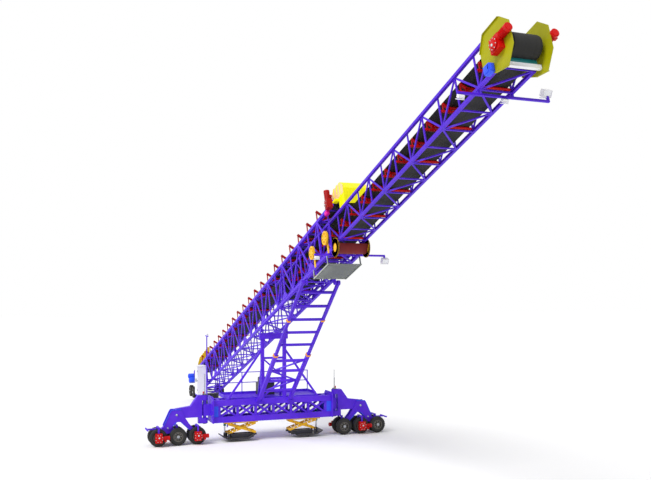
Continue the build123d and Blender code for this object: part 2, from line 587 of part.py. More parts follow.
def cross_beam():
    """Wheeled cross beam with end flanges, tongues and hinge boxes."""
    pieces = []
    low, high = BEAM_LOW + BEAM_CHORD_H, BEAM_HIGH - BEAM_CHORD_H
    web_end = BEAM_HALF - HINGE_BOX
    for x in (-BEAM_X, BEAM_X):
        x0, x1 = x - BEAM_CHORD_W / 2, x + BEAM_CHORD_W / 2
        pieces.append(box(x0, x1, -BEAM_HALF, BEAM_HALF, BEAM_LOW, low))
        pieces.append(box(x0, x1, -BEAM_HALF, BEAM_HALF, high, BEAM_HIGH))
        face = lattice(-web_end, web_end, low, high, BEAM_BAYS, BEAM_WEB, crossed=True)
        pieces.append(lattice_plate(face, Plane.YZ, x - 50, x + 50))
        for index in range(BEAM_BAYS + 1):
            y = -web_end + index * 2 * web_end / BEAM_BAYS
            pieces.append(box(x - 60, x + 60, y - 60, y + 60, low, high))
    for index in range(BEAM_BAYS + 1):
        y = -web_end + index * 2 * web_end / BEAM_BAYS
        for z in (BEAM_LOW, BEAM_HIGH - 160):
            pieces.append(box(-BEAM_X, BEAM_X, y - 60, y + 60, z, z + 160))
    for side in (-1, 1):
        corner = 160.0
        outline = [(-600, 970), (600, 970), (600, 1000), (600, 2050), (600 - corner, 2210), (-600 + corner, 2210),
                   (-600, 2050)]
        span = (-BEAM_HALF - FLANGE_T, -BEAM_HALF) if side > 0 else (BEAM_HALF, BEAM_HALF + FLANGE_T)
        pieces.append(plate(outline, SIDE, *span))
        y_in, y_out = sorted((side * (BEAM_HALF + FLANGE_T), side * HINGE_Y))
        pieces.append(box(-TONGUE_HALF, TONGUE_HALF, y_in, y_out, 1300, 1850))
        pieces.append(rod((0, side * HINGE_Y, 1300), (0, side * HINGE_Y, 1850), TONGUE_HALF))
        for y in (LEG_Y - 110, LEG_Y + 110):
            lug = [(BEAM_X + 90, 1880), (LEG_FOOT[0] + 60, 1960), (LEG_FOOT[0] + 80, 2050), (LEG_FOOT[0] + 40, 2110),
                   (LEG_FOOT[0] - 60, 2110), (BEAM_X + 90, 2050)]
            span = sorted((-side * y - 12, -side * y + 12))
            pieces.append(plate(lug, SIDE, *span))
    body = fuse(pieces)
    for side in (-1, 1):
        body -= rod((0, side * HINGE_Y, 1200), (0, side * HINGE_Y, 1950), HINGE_PIN_R + PIN_GAP)
    body -= rod((LEG_FOOT[0], -1200, LEG_FOOT[1]), (LEG_FOOT[0], 1200, LEG_FOOT[1]), PIVOT_R - 10 + PIN_GAP)
    save("cross_beam", body)
    boxes = [box(-430, 430, *sorted((side * (web_end + 60), side * BEAM_HALF)), low, high) for side in (-1, 1)]
    save("hinge_boxes", boxes)


def tower():
    """Two columns with their head beam, stays and ties."""
    pivot = boom_point(0, 0, -PIVOT_DROP)
    head = pivot[2] - 240
    pieces = []
    x0, x1 = BEAM_X - COLUMN / 2, BEAM_X + COLUMN / 2
    for side in (-1, 1):
        y_in, y_out = sorted((side * (COLUMN_Y - COLUMN / 2), side * (COLUMN_Y + COLUMN / 2)))
        pieces.append(box(x0, x1, y_in, y_out, BEAM_HIGH, head + 20))
        for y in (COLUMN_Y - 15, LUG_OUT + 30):
            cheek = [(pivot[0] - 110, head + 100), (pivot[0] + 110, head + 100), (pivot[0] + 90, pivot[2] + 60),
                     (pivot[0] - 90, pivot[2] + 60)]
            pieces.append(plate(cheek, SIDE, *sorted((-side * y - 12, -side * y + 12))))
        pieces.append(bar((BEAM_X, side * COLUMN_Y, 4450), (BEAM_X, side * 2300, BEAM_HIGH - 30), 90, 90))
        pieces.append(bar((BEAM_X, side * COLUMN_Y, 3900), (-BEAM_X, side * COLUMN_Y, BEAM_HIGH - 30), 90, 90))
    pieces.append(box(x0 - 40, x1 + 40, -LUG_OUT - 60, LUG_OUT + 60, head - 180, head + 110))
    for z in (3000, 4000):
        pieces.append(box(BEAM_X - 50, BEAM_X + 50, -COLUMN_Y, COLUMN_Y, z - 50, z + 50))
    pieces.append(bar((BEAM_X, -COLUMN_Y, 2100), (BEAM_X, COLUMN_Y, 3000), 70, 70))
    pieces.append(bar((BEAM_X, COLUMN_Y, 3000), (BEAM_X, -COLUMN_Y, 4000), 70, 70))
    body = fuse(pieces)
    body -= box(-BEAM_X * 2, BEAM_X * 2, -2600, 2600, BEAM_HIGH - 400, BEAM_HIGH)
    pin = rod((pivot[0], -LUG_OUT - 42, pivot[2]), (pivot[0], -COLUMN_Y + 27, pivot[2]), PIVOT_R)
    pins = [pin, rod((pivot[0], COLUMN_Y - 27, pivot[2]), (pivot[0], LUG_OUT + 42, pivot[2]), PIVOT_R)]
    save("tower", fuse([body] + pins))


def deck():
    """Service deck with rails, ladder and power pack."""
    floor = box(-1300, BEAM_X - COLUMN / 2 - 10, -2350, 2350, BEAM_HIGH, BEAM_HIGH + 50)
    for y in (-1, 1):
        floor -= box(-BEAM_X - 60, -BEAM_X + 160, *sorted((y * 480, y * 640)), BEAM_HIGH - 10, BEAM_HIGH + 60)
    rails = [floor]
    for y in (-2320, -1160, 0, 1160, 2320):
        rails.append(box(-1290, -1250, y - 20, y + 20, BEAM_HIGH + 50, BEAM_HIGH + 1150))
    for z in (600, 1110):
        rails.append(box(-1290, -1250, -2340, 2340, BEAM_HIGH + z, BEAM_HIGH + z + 40))
    for y in (-1900, -1500):
        rails.append(box(-1360, -1300, y - 25, y + 25, 450, BEAM_HIGH + 40))
    for index in range(6):
        z = 560 + index * 270
        rails.append(box(-1345, -1315, -1900, -1500, z, z + 30))
    save("service_deck", fuse(rails))
    tank = box(-1050, -450, -500, 300, BEAM_HIGH + 50, BEAM_HIGH + 650)
    motor = rod((-750, -450, BEAM_HIGH + 790), (-750, 150, BEAM_HIGH + 790), 140.5)
    save("power_pack", tank.fuse(motor, box(-830, -670, -400, 100, BEAM_HIGH + 640, BEAM_HIGH + 720)))


def wheel(name, x_side, y, turn):
    """Twin wheel: two tyres and the hub with its axle."""
    tyres, rims = [], []
    for side in (-1, 1):
        half = WHEEL_WIDE / 2
        spun = Pos(side * WHEEL_X, y, WHEEL_R) * Rot(0, 0, 90) * tyre(WHEEL_R, WHEEL_WIDE, RIM_R)
        tyres.append(spun)
        centre = (side * WHEEL_X, y, WHEEL_R)
        rim = rod((centre[0] - half + 20, y, WHEEL_R), (centre[0] + half - 20, y, WHEEL_R), RIM_R)
        face = side * (WHEEL_X + half - 20)
        dish = rod((face - side * 70, y, WHEEL_R), (face + side * 5, y, WHEEL_R), 185)
        rims.append((rim - dish).fuse(rod((face - side * 80, y, WHEEL_R), (face + side * 10, y, WHEEL_R), 95)))
    far = WHEEL_X + WHEEL_WIDE / 2 + 150
    axle = rod((-x_side * (WHEEL_X + 80), y, WHEEL_R), (x_side * far, y, WHEEL_R), AXLE_R)
    hub = fuse([axle] + rims)
    save(f"{name}_tyres", tyres, turn)
    save(f"{name}_hub", hub, turn)


def bogie(side_name, turn):
    """Swing arm with yoke, arm, rocker, sub-beam and pin, modelled at +Y and turned to its side."""
    inner, middle, outer = STATIONS.values()
    pivot = (4700.0, 1420.0)
    sub_pivot = (5120.0, 830.0)
    pieces = [box(-YOKE_HALF, YOKE_HALF, HINGE_Y + 150, HINGE_Y + 310, YOKE_LOW, YOKE_HIGH)]
    for z0, z1 in ((YOKE_LOW, YOKE_LOW + YOKE_FLANGE), (YOKE_HIGH - YOKE_FLANGE, YOKE_HIGH)):
        pieces.append(box(-YOKE_HALF, YOKE_HALF, HINGE_Y, HINGE_Y + 160, z0, z1))
        pieces.append(rod((0, HINGE_Y, z0), (0, HINGE_Y, z1), YOKE_HALF))
    web_y = HINGE_Y + 300
    arm = [(web_y, 1250), (web_y, YOKE_HIGH), (web_y + 40, YOKE_HIGH), (4030, 1790), (4720, 1700), (4860, 1560),
           (4860, 1330), (4760, 1250)]
    pieces.append(plate(arm, Plane.YZ, -ARM_HALF, ARM_HALF))
    pieces.append(rod((0, HINGE_Y, YOKE_LOW + 5), (0, HINGE_Y, YOKE_HIGH - 5), HINGE_PIN_R))
    rocker = [(4480, 1665), (4940, 1665), (5010, 1560), (5300, 930), (5250, 760), (5000, 740), (4880, 900),
              (4700, 1080), (4500, 1080), (3960, 560), (3800, 330), (3660, 330), (3640, 480), (3860, 700),
              (4120, 1000), (4330, 1330)]
    for x in (-ARM_HALF - ROCKER_PLATE, ARM_HALF):
        pieces.append(plate(rocker, Plane.YZ, x, x + ROCKER_PLATE))
    sub = [(middle - 130, 330), (middle - 130, 480), (middle + 60, 700), (5000, 930), (5240, 930), (outer - 60, 720),
           (outer + 130, 480), (outer + 130, 330), (outer - 130, 330), (outer - 200, 560), (middle + 200, 560),
           (middle + 130, 330)]
    pieces.append(plate(sub, Plane.YZ, -SUB_HALF, SUB_HALF))
    pieces.append(rod((-ARM_HALF - 5, *sub_pivot), (ARM_HALF + 5, *sub_pivot), 60))
    pieces.append(rod((-ARM_HALF - 5, inner, WHEEL_R), (ARM_HALF + 5, inner, WHEEL_R), 95))
    for station in STATIONS.values():
        x_side = -1 if station != middle else 1
        post_top = 930
        foot = WHEEL_R if station == inner else 600
        pieces.append(box(-50, 50, station - 45, station + 45, foot, post_top))
        x_in, x_out = sorted((x_side * -50, x_side * 480))
        pieces.append(box(x_in, x_out, station - 40, station + 40, post_top - 55, post_top))
        x_in, x_out = sorted((x_side * 440, x_side * 480))
        pieces.append(box(x_in, x_out, station - 40, station + 40, 610, post_top))
    pieces.append(box(-60, 60, outer + 60, outer + 520, 760, 820))
    pieces.append(box(-60, 60, outer + 60, outer + 120, 560, 761))
    pieces.append(box(-380, 380, outer + 460, outer + 520, 760, 820))
    body = fuse(pieces)
    body -= rod((-400, *pivot), (400, *pivot), 45)
    for station in STATIONS.values():
        body -= rod((-200, station, WHEEL_R), (200, station, WHEEL_R), AXLE_R + PIN_GAP)
    save(f"swing_arm_{side_name}", body, turn)

    drives = []
    for station in STATIONS.values():
        x_side = -1 if station != middle else 1
        x_in, x_out = sorted((x_side * (WHEEL_X + WHEEL_WIDE / 2 + 12), x_side * (WHEEL_X + WHEEL_WIDE / 2 + 190)))
        gear = box(x_in, x_out, station - 160, station + 160, 210, 640)
        gear -= box(*sorted((x_side * 438, x_side * 482)), station - 42, station + 42, 608, 700)
        gear -= rod((x_side * 300, station, WHEEL_R), (x_side * 800, station, WHEEL_R), AXLE_R + PIN_GAP)
        reach = -1 if station != middle else 1
        motor = rod((x_side * 520, station + reach * 150, WHEEL_R), (x_side * 520, station + reach * 500, WHEEL_R), 85)
        drives.append(gear.fuse(motor))
    save(f"wheel_drives_{side_name}", drives, turn)
    for name, station in STATIONS.items():
        wheel(f"wheel_{side_name}_{name}", -1 if name != "middle" else 1, station, turn)


def link(x, top, low, roller_low, stub_top, centre_pin):
    """One scissor link: two drilled plates with a tube at each end, in the foot's (t, z) plane."""
    pieces = []
    run = (low[0] - top[0], low[1] - top[1])
    length = math.hypot(*run)
    for side in (-1, 1):
        face = SlotCenterToCenter(length, LINK_WIDE)
        for share in (0.15, 0.3, 0.7, 0.85):
            face -= Pos(length * (share - 0.5), 0) * Circle(28)
        angle = math.degrees(math.atan2(run[1], run[0]))
        mid = ((top[0] + low[0]) / 2, (top[1] + low[1]) / 2)
        x_in = x if side > 0 else -x - LINK_T
        placed = Plane.YZ.offset(x_in) * (Pos(*mid) * Rot(0, 0, angle) * face)
        pieces.append(extrude(placed, amount=LINK_T))
    for end, roller, stub in ((top, FOOT_ROLLER_R if not stub_top else 35, stub_top),
                              (low, FOOT_ROLLER_R if roller_low else 35, not roller_low)):
        pieces.append(rod((-x, *end), (x, *end), roller))
        if stub:
            pieces.append(rod((-290, *end), (290, *end), FOOT_PIN_R))
    body = fuse(pieces)
    centre = ((top[0] + low[0]) / 2, (top[1] + low[1]) / 2)
    if centre_pin:
        body = body.fuse(rod((-x - 5, *centre), (x + 5, *centre), FOOT_PIN_R))
    else:
        body -= rod((-x - 50, *centre), (x + 50, *centre), FOOT_PIN_R + PIN_GAP)
    return body


def foot_fixed():
    """Carriers and cylinder barrels of both feet, fixed below the cross beam."""
    near, far = FOOT_Y - FOOT_REACH, FOOT_Y + FOOT_REACH
    under = FOOT_TOP + FOOT_ROLLER_R + SEAT_GAP
    carriers, barrels = [], []
    for turn in (LEFT, RIGHT):
        carrier = [box(-330, 330, near - 120, far + 240, under, BEAM_LOW)]
        for side in (-1, 1):
            x_in, x_out = sorted((side * 262, side * 290))
            carrier.append(box(x_in, x_out, far - 60, far + 60, FOOT_TOP, under + 1))
            carrier.append(rod((x_in, far, FOOT_TOP), (x_out, far, FOOT_TOP), 60))
        body = fuse(carrier) - rod((-400, far, FOOT_TOP), (400, far, FOOT_TOP), FOOT_PIN_R + PIN_GAP)
        body -= rod((0, far + CYLINDER_OUT, under - 10), (0, far + CYLINDER_OUT, BEAM_LOW + 10), 62)
        carriers.append(turn * body)
        barrel = rod((0, far + CYLINDER_OUT, BARREL_LOW), (0, far + CYLINDER_OUT, BARREL_HIGH), 62)
        barrel -= rod((0, far + CYLINDER_OUT, BARREL_LOW - 10), (0, far + CYLINDER_OUT, BARREL_HIGH - 15), 40)
        barrels.append(turn * barrel)
    save("foot_carriers", carriers)
    save("foot_cylinders", barrels)


def foot(side_name, turn):
    """Moving pieces of a lifting foot: scissor links, pad and ram, modelled at +Y and turned to its side."""
    yc, near, far = FOOT_Y, FOOT_Y - FOOT_REACH, FOOT_Y + FOOT_REACH
    link_a = link(LINK_A_X, (far, FOOT_TOP), (near, FOOT_LOW), True, True, True)
    link_b = link(LINK_B_X, (near, FOOT_TOP), (far, FOOT_LOW), False, False, False)
    save(f"foot_link_{side_name}_a", link_a, turn)
    save(f"foot_link_{side_name}_b", link_b, turn)

    pad_mid = yc + PAD_SHIFT
    rail_top = FOOT_LOW - FOOT_ROLLER_R - SEAT_GAP
    pad = box(-420, 420, pad_mid - 520, pad_mid + 520, PAD_BOTTOM, PAD_BOTTOM + 40)
    for end in (-1, 1):
        lip = [(pad_mid + end * 500, PAD_BOTTOM), (pad_mid + end * 540, PAD_BOTTOM), (pad_mid + end * 820, PAD_TOP - 40),
               (pad_mid + end * 820, PAD_TOP), (pad_mid + end * 790, PAD_TOP), (pad_mid + end * 500, PAD_BOTTOM + 40)]
        pad = pad.fuse(plate(lip, Plane.YZ, -420, 420))
    for side in (-1, 1):
        x_in, x_out = sorted((side * 130, side * 228))
        pad = pad.fuse(box(x_in, x_out, near - 90, far - 130, PAD_TOP - 60, rail_top))
        x_in, x_out = sorted((side * 200, side * 226))
        pad = pad.fuse(box(x_in, x_out, near + 60, far - 130, PAD_BOTTOM + 30, PAD_TOP - 50))
        x_in, x_out = sorted((side * 262, side * 288))
        lug = box(x_in, x_out, far - 55, far + 55, PAD_BOTTOM + 30, FOOT_LOW)
        pad = pad.fuse(lug, rod((x_in, far, FOOT_LOW), (x_out, far, FOOT_LOW), 55))
        x_in, x_out = sorted((side * 42, side * 64))
        pad = pad.fuse(box(x_in, x_out, far + 100, far + 200, PAD_BOTTOM + 30, FOOT_LOW + 10))
    pad -= rod((-400, far, FOOT_LOW), (400, far, FOOT_LOW), FOOT_PIN_R + PIN_GAP)
    pad = pad.fuse(rod((-63, far + CYLINDER_OUT, FOOT_LOW - 30), (63, far + CYLINDER_OUT, FOOT_LOW - 30), 20))
    save(f"foot_pad_{side_name}", pad, turn)

    eye_z = FOOT_LOW - 30
    ram = rod((0, far + CYLINDER_OUT, eye_z + 40), (0, far + CYLINDER_OUT, RAM_TOP), 39)
    ram = ram.fuse(rod((-28, far + CYLINDER_OUT, eye_z), (28, far + CYLINDER_OUT, eye_z), 66))
    ram -= rod((-60, far + CYLINDER_OUT, eye_z), (60, far + CYLINDER_OUT, eye_z), 34)
    save(f"foot_ram_{side_name}", ram, turn)


def luffing_legs():
    """Telescopic legs: a lower frame of two tubes and an upper frame that slides in it."""
    foot_x, foot_z = LEG_FOOT
    head = boom_point(LEG_HEAD_S, 0, -LEG_HEAD_DROP)
    run = (head[0] - foot_x, head[2] - foot_z)
    length = math.hypot(*run)
    angle = math.degrees(math.atan2(run[1], run[0]))
    place = Location((foot_x, 0, foot_z), (0, -angle, 0))
    half, inner, bore = LEG_OUTER / 2, LEG_INNER / 2, LEG_OUTER / 2 - LEG_WALL
    mouth = inner + SEAT_GAP
    lower, upper = [], []
    for side in (-1, 1):
        y = side * LEG_Y
        tube = box(110, LEG_OUTER_LENGTH, y - half, y + half, -half, half)
        tube -= box(LEG_OUTER_LENGTH - LEG_OVERLAP - 600, LEG_OUTER_LENGTH - 100, y - bore, y + bore, -bore, bore)
        tube -= box(LEG_OUTER_LENGTH - 110, LEG_OUTER_LENGTH + 10, y - mouth, y + mouth, -mouth, mouth)
        lower.append(tube)
        lower.append(rod((0, y - 90, 0), (0, y + 90, 0), 70))
        lower.append(box(0, 112, y - 60, y + 60, -60, 60))
        lower.append(rod((0, y - 125, 0), (0, y + 125, 0), PIVOT_R - 10))
        eye = rod((length, y - 60, 0), (length, y + 60, 0), 105)
        upper.append(box(LEG_OUTER_LENGTH - LEG_OVERLAP, length - 60, y - inner, y + inner, -inner, inner))
        upper.append(eye)
    for d in (700, 1500, 2300, 3100):
        lower.append(box(d - 50, d + 50, -LEG_Y + half - 5, LEG_Y - half + 5, -50, 50))
    lower.append(bar((700, -LEG_Y + half, 0), (1500, LEG_Y - half, 0), 60, 60))
    lower.append(bar((2300, -LEG_Y + half, 0), (1500, LEG_Y - half, 0), 60, 60))
    lower.append(bar((2300, -LEG_Y + half, 0), (3100, LEG_Y - half, 0), 60, 60))
    for d in (4300, 5200, 6100, 7000, 7900):
        upper.append(box(d - 45, d + 45, -LEG_Y, LEG_Y, -45, 45))
    save("leg_lower", fuse(lower), place)
    body = fuse(upper)
    for side in (-1, 1):
        body -= rod((length, side * (LEG_Y - 80), 0), (length, side * (LEG_Y + 80), 0), PIVOT_R + LEG_PIN_PLAY)
    save("leg_upper", body, place)


def tail():
    """Tail pivot base, its pitching block, and the two travel axles."""
    pin = boom_point(TAIL_S, 0, -TAIL_DROP)
    ring_top = pin[2] - 150
    block = box(pin[0] - 250, pin[0] + 250, -540, 540, ring_top, ring_top + 60)
    for side in (-1, 1):
        for y in (530, 630):
            y_in, y_out = sorted((side * (y - 12), side * (y + 12)))
            cheek = box(pin[0] - 90, pin[0] + 90, y_in, y_out, ring_top + 30, pin[2])
            block = block.fuse(cheek, rod((pin[0], y_in, pin[2]), (pin[0], y_out, pin[2]), 90))
        y_in, y_out = sorted((side * 520, side * 642))
        block = block.fuse(box(pin[0] - 90, pin[0] + 90, y_in, y_out, ring_top, ring_top + 40))
        block = block.fuse(rod((pin[0], y_in, pin[2]), (pin[0], y_out, pin[2]), PIVOT_R))
    king = rod((pin[0], 0, ring_top - 100), (pin[0], 0, ring_top), 120)
    save("tail_block", block.fuse(king, rod((pin[0], 0, ring_top - 20), (pin[0], 0, ring_top), 380)))
    slab = box(pin[0] - TAIL_BASE_HALF, pin[0] + TAIL_BASE_HALF, -TAIL_BASE_HALF, TAIL_BASE_HALF, 0, 60)
    for x in (-1, 1):
        for y in (-1, 1):
            hole = (pin[0] + x * ANCHOR_PITCH / 2, y * ANCHOR_PITCH / 2)
            slab -= rod((*hole, -5), (*hole, 65), ANCHOR_R)
    drum_top = ring_top - 20 - SEAT_GAP
    ring = rod((pin[0], 0, 59), (pin[0], 0, drum_top), 400) - rod((pin[0], 0, 80), (pin[0], 0, drum_top + 5), 120.5)
    save("tail_base", slab.fuse(ring))


boom()
inner_boom()
cross_beam()
tower()
deck()
for name, turn in (("left", LEFT), ("right", RIGHT)):
    bogie(name, turn)
    foot(name, turn)
foot_fixed()
luffing_legs()
tail()
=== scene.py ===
"""Looks of the radial telescopic conveyor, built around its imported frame.

Lengths are in metres in the row frame: the origin is the slewing centre of the tail base on the floor,
X runs to the discharge head, Y to the left and Z up. Along the boom, s runs forward from the middle of the
tower, y across and w square to the belt.
"""
import json
import logging
import math
from dataclasses import dataclass, field
from enum import Enum
from typing import Callable, Optional

import bmesh
import bpy
from mathutils import Matrix, Vector

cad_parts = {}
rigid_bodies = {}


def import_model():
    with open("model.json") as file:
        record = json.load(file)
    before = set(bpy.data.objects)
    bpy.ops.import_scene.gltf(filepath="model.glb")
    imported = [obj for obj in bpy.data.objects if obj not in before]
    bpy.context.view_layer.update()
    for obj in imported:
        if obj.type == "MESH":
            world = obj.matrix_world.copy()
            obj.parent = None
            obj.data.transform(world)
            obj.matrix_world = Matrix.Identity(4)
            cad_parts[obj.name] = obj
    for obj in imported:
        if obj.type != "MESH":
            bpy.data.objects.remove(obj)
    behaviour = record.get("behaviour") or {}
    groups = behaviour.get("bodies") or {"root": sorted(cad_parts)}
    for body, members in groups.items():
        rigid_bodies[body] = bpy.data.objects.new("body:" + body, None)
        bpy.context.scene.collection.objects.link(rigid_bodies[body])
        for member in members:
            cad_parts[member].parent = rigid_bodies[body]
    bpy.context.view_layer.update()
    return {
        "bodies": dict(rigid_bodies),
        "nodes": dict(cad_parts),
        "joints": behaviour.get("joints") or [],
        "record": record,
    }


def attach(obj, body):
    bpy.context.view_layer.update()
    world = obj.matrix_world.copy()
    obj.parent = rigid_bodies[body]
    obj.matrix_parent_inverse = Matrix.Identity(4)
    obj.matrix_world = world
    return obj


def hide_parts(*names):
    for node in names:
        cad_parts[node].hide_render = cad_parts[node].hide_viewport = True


LOG = logging.getLogger("conveyor")
Test = Callable[[Vector, Vector], bool]
Triple = tuple[float, float, float]
Output = tuple[bpy.types.Node, str]
Piece = bpy.types.Object
Tree = bpy.types.NodeTree
ORIGIN = (0.0, 0.0, 0.0)
QUARTER = math.pi / 2


class Axis(Enum):
    """Direction that a turned piece lies along."""

    X = (1.0, 0.0, 0.0)
    Y = (0.0, 1.0, 0.0)
    Z = (0.0, 0.0, 1.0)


class Side(Enum):
    """Side of the machine."""

    LEFT = 1
    RIGHT = -1

    @property
    def label(self) -> str:
        """The side in lower case, as the bodies have it."""
        return self.name.lower()


def linear(code: str, alpha: float = 1.0) -> tuple[float, float, float, float]:
    """Turn an sRGB hex colour into linear values.

    Args:
        code: Colour as six hex digits.
        alpha: Opacity.

    Returns:
        Linear red, green, blue and alpha.
    """
    parts = [int(code[i:i + 2], 16) / 255 for i in (0, 2, 4)]
    red, green, blue = (p / 12.92 if p <= 0.04045 else ((p + 0.055) / 1.055) ** 2.4 for p in parts)
    return red, green, blue, alpha


def add_node(tree: Tree, kind: str, inputs: Optional[dict] = None,
             **settings) -> bpy.types.Node:
    """Add a node with its settings, values and links.

    Args:
        tree: Node tree of the material or world.
        kind: Node type, such as ShaderNodeTexNoise.
        inputs: Socket name or number to a value, or to a (node, output) pair that is linked.
        settings: Properties of the node.

    Returns:
        The new node.
    """
    node = tree.nodes.new(kind)
    for name, value in settings.items():
        setattr(node, name, value)
    for socket, value in (inputs or {}).items():
        if isinstance(value, tuple) and isinstance(value[0], bpy.types.Node):
            tree.links.new(value[0].outputs[value[1]], node.inputs[socket])
        else:
            node.inputs[socket].default_value = value
    return node


def blank(name: str, colour: Optional[str] = None) -> tuple[bpy.types.Material, Tree]:
    """Start a node material.

    Args:
        name: Name of the material.
        colour: Plain colour for a view that shows no nodes, as six hex digits, or None to leave it.

    Returns:
        The material and its empty node tree.
    """
    material = bpy.data.materials.new(name)
    material.use_nodes = True
    if colour:
        material.diffuse_color = linear(colour)
    material.node_tree.nodes.clear()
    return material, material.node_tree


def local(tree: Tree) -> Output:
    """Give the object coordinates that every pattern is laid out in."""
    return add_node(tree, "ShaderNodeTexCoord"), "Object"


def ramp(tree: Tree, pattern: Output, low: float, first: str, high: float,
         second: str) -> Output:
    """Blend two colours over a part of a pattern.

    Args:
        tree: Node tree of the material.
        pattern: Output that the blend follows.
        low: Value up to which the first colour holds.
        first: First colour, as six hex digits.
        high: Value from which the second colour holds.
        second: Second colour, as six hex digits.

    Returns:
        The blended colour.
    """
    node = add_node(tree, "ShaderNodeValToRGB", {"Fac": pattern})
    for stop, position, colour in zip(node.color_ramp.elements, (low, high), (first, second)):
        stop.position = position
        stop.color = linear(colour)
    return node, "Color"


def mixed(tree: Tree, amount: Output, first: object, second: object) -> Output:
    """Mix two colours, each an output or a value, by an amount."""
    node = add_node(tree, "ShaderNodeMix", {"Factor": amount, "A": first, "B": second}, data_type="RGBA")
    return node, "Result"


def mapped(tree: Tree, value: Output, **limits: float) -> Output:
    """Map a value from one range to another, with limits named from_min, from_max, to_min and to_max."""
    inputs = {name.replace("_", " ").title(): limit for name, limit in limits.items()}
    return add_node(tree, "ShaderNodeMapRange", {"Value": value, **inputs}), "Result"


def bumped(tree: Tree, height: Output, strength: float, distance: float) -> Output:
    """Turn a height into a normal."""
    inputs = {"Height": height, "Strength": strength, "Distance": distance}
    return add_node(tree, "ShaderNodeBump", inputs), "Normal"


def shade(tree: Tree, inputs: dict) -> None:
    """Add the surface shader with its values and links, and put it out."""
    shader = add_node(tree, "ShaderNodeBsdfPrincipled", inputs)
    add_node(tree, "ShaderNodeOutputMaterial", {"Surface": (shader, "BSDF")})


@dataclass(frozen=True)
class Enamel:
    """Sprayed enamel on steel: an even coat with slow colour drift, dust on upper faces and soft gloss."""

    name: str
    colour: str
    drift: str
    roughness: float = 0.5
    coat: float = 0.0
    dust: float = 0.05
    sheen: float = 0.25
    drift_mm: float = 700.0
    peel_mm: float = 30.0
    peel: float = 0.06
    dust_colour: str = "C9C4BC"

    def build(self) -> bpy.types.Material:
        """Build the material.

        Returns:
            A material with object-space drift, dust and a fine peel in its coat.
        """
        material, tree = blank(self.name, self.colour)
        place = local(tree)
        broad = add_node(tree, "ShaderNodeTexNoise", {
            "Vector": place, "Scale": 1000 / self.drift_mm, "Detail": 5.0, "Roughness": 0.6})
        blend = ramp(tree, (broad, "Fac"), 0.36, self.colour, 0.72, self.drift)
        # Dust settles on faces that look up, in patches about a hand wide.
        shape = add_node(tree, "ShaderNodeNewGeometry")
        up = add_node(tree, "ShaderNodeSeparateXYZ", {"Vector": (shape, "Normal")})
        facing_up = mapped(tree, (up, "Z"), from_min=0.35, from_max=1.0, to_min=0.0, to_max=self.dust)
        patches = add_node(tree, "ShaderNodeTexNoise", {
            "Vector": place, "Scale": 6.0, "Detail": 8.0, "Roughness": 0.7})
        amount = add_node(tree, "ShaderNodeMath", {0: facing_up, 1: (patches, "Fac")}, operation="MULTIPLY")
        peel = add_node(tree, "ShaderNodeTexNoise", {
            "Vector": place, "Scale": 1000 / self.peel_mm, "Detail": 3.0})
        gloss = mapped(tree, (patches, "Fac"), from_min=0.3, from_max=0.7, to_min=self.roughness - 0.07,
                       to_max=self.roughness + 0.1)
        shade(tree, {
            "Base Color": mixed(tree, (amount, "Value"), blend, linear(self.dust_colour)), "Roughness": gloss,
            "Normal": bumped(tree, (peel, "Fac"), self.peel, 0.01), "Coat Weight": self.coat,
            "Specular IOR Level": self.sheen})
        return material


@dataclass(frozen=True)
class Rubber:
    """Vulcanised rubber: near black, matt, with a scuffed bloom and a grain pressed by its mould."""

    name: str
    colour: str
    bloom: str
    roughness: float = 0.78
    grain_mm: float = 25.0
    streak: Triple = (1.0, 1.0, 1.0)
    relief: float = 0.25

    def build(self) -> bpy.types.Material:
        """Build the material.

        Returns:
            A matt material whose bloom is stretched by streak.
        """
        material, tree = blank(self.name, self.colour)
        place = local(tree)
        turned_place = add_node(tree, "ShaderNodeMapping", {"Vector": place, "Scale": self.streak})
        scuffs = add_node(tree, "ShaderNodeTexNoise", {
            "Vector": (turned_place, "Vector"), "Scale": 2.2, "Detail": 9.0, "Roughness": 0.65})
        grain = add_node(tree, "ShaderNodeTexVoronoi", {"Vector": place, "Scale": 1000 / self.grain_mm})
        shade(tree, {
            "Base Color": ramp(tree, (scuffs, "Fac"), 0.42, self.colour, 0.78, self.bloom),
            "Roughness": mapped(tree, (scuffs, "Fac"), to_min=self.roughness - 0.12,
                                to_max=self.roughness + 0.14),
            "Normal": bumped(tree, (grain, "Distance"), self.relief, 0.004)})
        return material


@dataclass(frozen=True)
class Steel:
    """Bare or zinc-plated steel: metallic, with turning marks or spangle that breaks its reflection."""

    name: str
    colour: str
    shade: str
    roughness: float = 0.35
    spangle_mm: float = 40.0
    metallic: float = 1.0

    def build(self) -> bpy.types.Material:
        """Build the material.

        Returns:
            A metal with patches of two tones and uneven roughness.
        """
        material, tree = blank(self.name, self.colour)
        place = local(tree)
        crystals = add_node(tree, "ShaderNodeTexVoronoi", {"Vector": place, "Scale": 1000 / self.spangle_mm})
        cloud = add_node(tree, "ShaderNodeTexNoise", {"Vector": place, "Scale": 9.0, "Detail": 6.0})
        shade(tree, {
            "Base Color": mixed(tree, (crystals, "Color"), linear(self.colour), linear(self.shade)),
            "Roughness": mapped(tree, (cloud, "Fac"), from_min=0.3, from_max=0.7,
                                to_min=self.roughness - 0.08, to_max=self.roughness + 0.15),
            "Normal": bumped(tree, (cloud, "Fac"), 0.08, 0.004), "Metallic": self.metallic})
        return material


